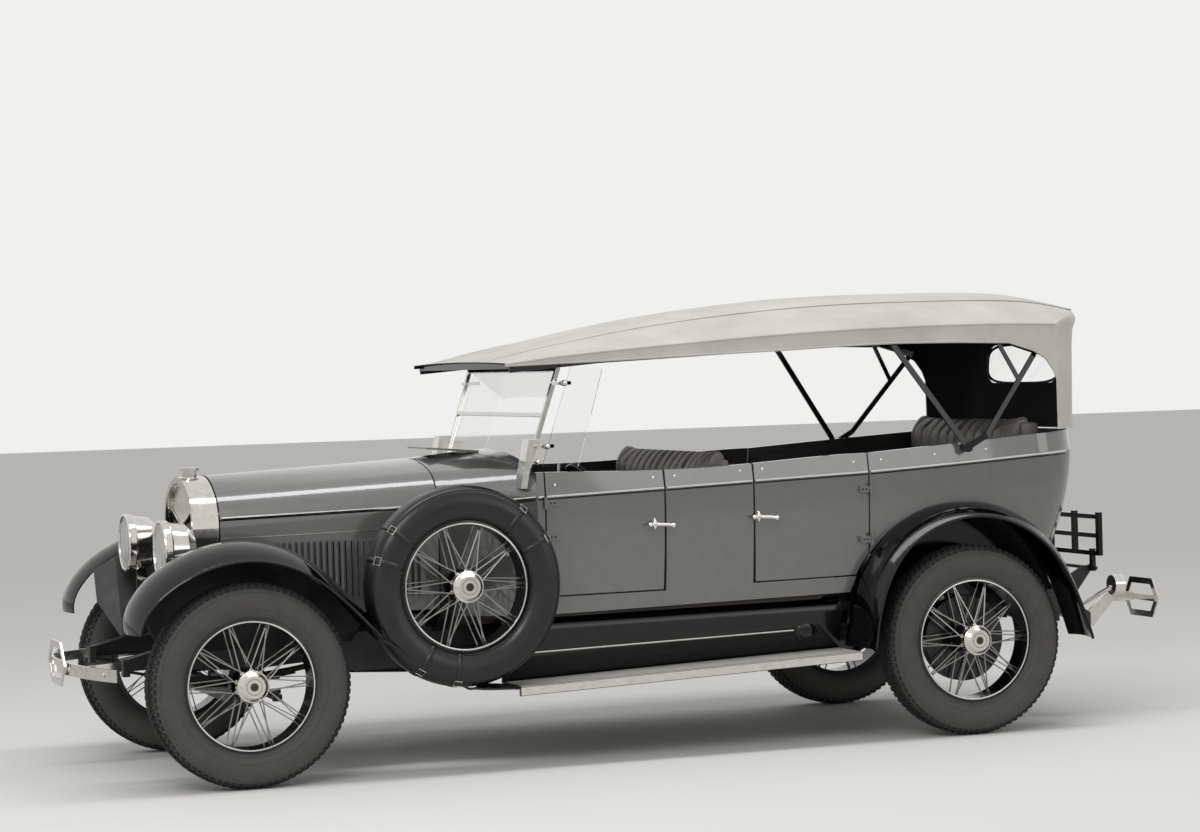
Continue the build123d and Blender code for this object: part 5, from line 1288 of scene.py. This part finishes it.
class TOURING_OT_stage(bpy.types.Operator):
    """Set the floor, the air, the lamps and the camera"""
    bl_idname = "touring.stage"
    bl_label = "Stage"

    # Light that the air gives to dull surfaces, where the camera, glass and metal see it at 1
    AIR = 0.62
    # Lamps: name, place, size and watts. They all look at the car's middle.
    LAMPS = (
        ("key", (-5.5, -7.5, 6.5), (5.0, 3.0), 230), ("roof", (0.0, -1.2, 6.5), (9.0, 1.3), 190),
        ("fill", (5.0, -9.0, 3.5), (6.0, 3.0), 60),
    )
    MIDDLE = Vector((0, 0, 0.7))
    # The photograph's camera: place from the front axle, its yaw, pitch and roll in degrees, and its lens
    CAMERA = (-3.1292, -13.8260, 1.7964)
    ANGLES = (20.0805, -1.0227, -1.6491)
    LENS = 93.17

    def execute(self, context):
        bm = bmesh.new()
        bmesh.ops.create_grid(bm, x_segments=1, y_segments=1, size=60)
        floor = mesh_object("studio_floor", bm)
        floor.data.materials.append(finish_named("painted_floor"))
        self.air(context.scene)
        for name, place, size, power in self.LAMPS:
            light = bpy.data.lights.new(name, "AREA")
            light.shape = "RECTANGLE"
            light.size, light.size_y = size
            light.energy = power
            lamp = bpy.data.objects.new(name, light)
            context.scene.collection.objects.link(lamp)
            lamp.location = place
            lamp.rotation_euler = (self.MIDDLE - Vector(place)).to_track_quat("-Z", "Y").to_euler()
        self.camera(context.scene)
        context.scene.view_settings.view_transform = "Standard"
        return {"FINISHED"}

    def air(self, scene):
        """One plain pale background for the camera, glass and metal, and a dimmer one for dull surfaces."""
        world = bpy.data.worlds.new("studio_air")
        scene.world = world
        world.use_nodes = True
        tree = world.node_tree
        tree.nodes.clear()
        path = add_node(tree, "ShaderNodeLightPath")
        clear = add_node(tree, "ShaderNodeMath", {
            0: (path, "Is Camera Ray"), 1: (path, "Is Transmission Ray")}, operation="MAXIMUM")
        seen = add_node(tree, "ShaderNodeMath", {
            0: (clear, 0), 1: (path, "Is Glossy Ray")}, operation="MAXIMUM")
        strength = add_node(tree, "ShaderNodeMapRange", {"Value": (seen, 0), "To Min": self.AIR, "To Max": 1.0})
        air = add_node(tree, "ShaderNodeBackground", {"Color": linear("#f0f0ee"), "Strength": (strength, 0)})
        add_node(tree, "ShaderNodeOutputWorld", {"Surface": (air, 0)})

    def camera(self, scene):
        """The camera where the photographer stood, which is fitted to the wheels and the top."""
        camera = bpy.data.objects.new("photo_camera", bpy.data.cameras.new("photo_camera"))
        scene.collection.objects.link(camera)
        yaw, pitch, roll = (math.radians(a) for a in self.ANGLES)
        forward = Vector((math.sin(yaw) * math.cos(pitch), math.cos(yaw) * math.cos(pitch), math.sin(pitch)))
        right = Vector((math.cos(yaw), -math.sin(yaw), 0))
        up = right.cross(forward)
        right_rolled = right * math.cos(roll) + up * math.sin(roll)
        up_rolled = up * math.cos(roll) - right * math.sin(roll)
        turn = Matrix((right_rolled, up_rolled, -forward)).transposed().to_4x4()
        camera.matrix_world = Matrix.Translation(Vector((FRONT_X, 0, 0)) + Vector(self.CAMERA)) @ turn
        camera.data.lens = self.LENS
        camera.data.sensor_width = 36
        scene.camera = camera


STEPS = (
    TOURING_OT_cad_finish, TOURING_OT_tyres, TOURING_OT_wheel_trim, TOURING_OT_spares, TOURING_OT_mouldings,
    TOURING_OT_door_fittings, TOURING_OT_fender_beads, TOURING_OT_radiator_trim, TOURING_OT_running_boards,
    TOURING_OT_top, TOURING_OT_seats, TOURING_OT_louvres, TOURING_OT_apron_trim,
    TOURING_OT_small_fittings, TOURING_OT_stage,
)


class TOURING_PT_panel(bpy.types.Panel):
    """Lists the settings and a button for each step"""
    bl_label = "Touring car"
    bl_idname = "TOURING_PT_panel"
    bl_space_type = "VIEW_3D"
    bl_region_type = "UI"
    bl_category = "Touring car"

    def draw(self, context):
        settings = context.scene.touring_finish
        for key in settings.bl_rna.properties.keys():
            if key not in ("rna_type", "name"):
                self.layout.prop(settings, key)
        for step in STEPS:
            self.layout.operator(step.bl_idname)


CLASSES = (FinishSettings, *STEPS, TOURING_PT_panel)


def register():
    for item in CLASSES:
        bpy.utils.register_class(item)
    bpy.types.Scene.touring_finish = bpy.props.PointerProperty(type=FinishSettings)


def unregister():
    del bpy.types.Scene.touring_finish
    for item in reversed(CLASSES):
        bpy.utils.unregister_class(item)


def main():
    register()
    for step in STEPS:
        group, name = step.bl_idname.split(".")
        getattr(getattr(bpy.ops, group), name)()


if __name__ == "__main__":
    main()
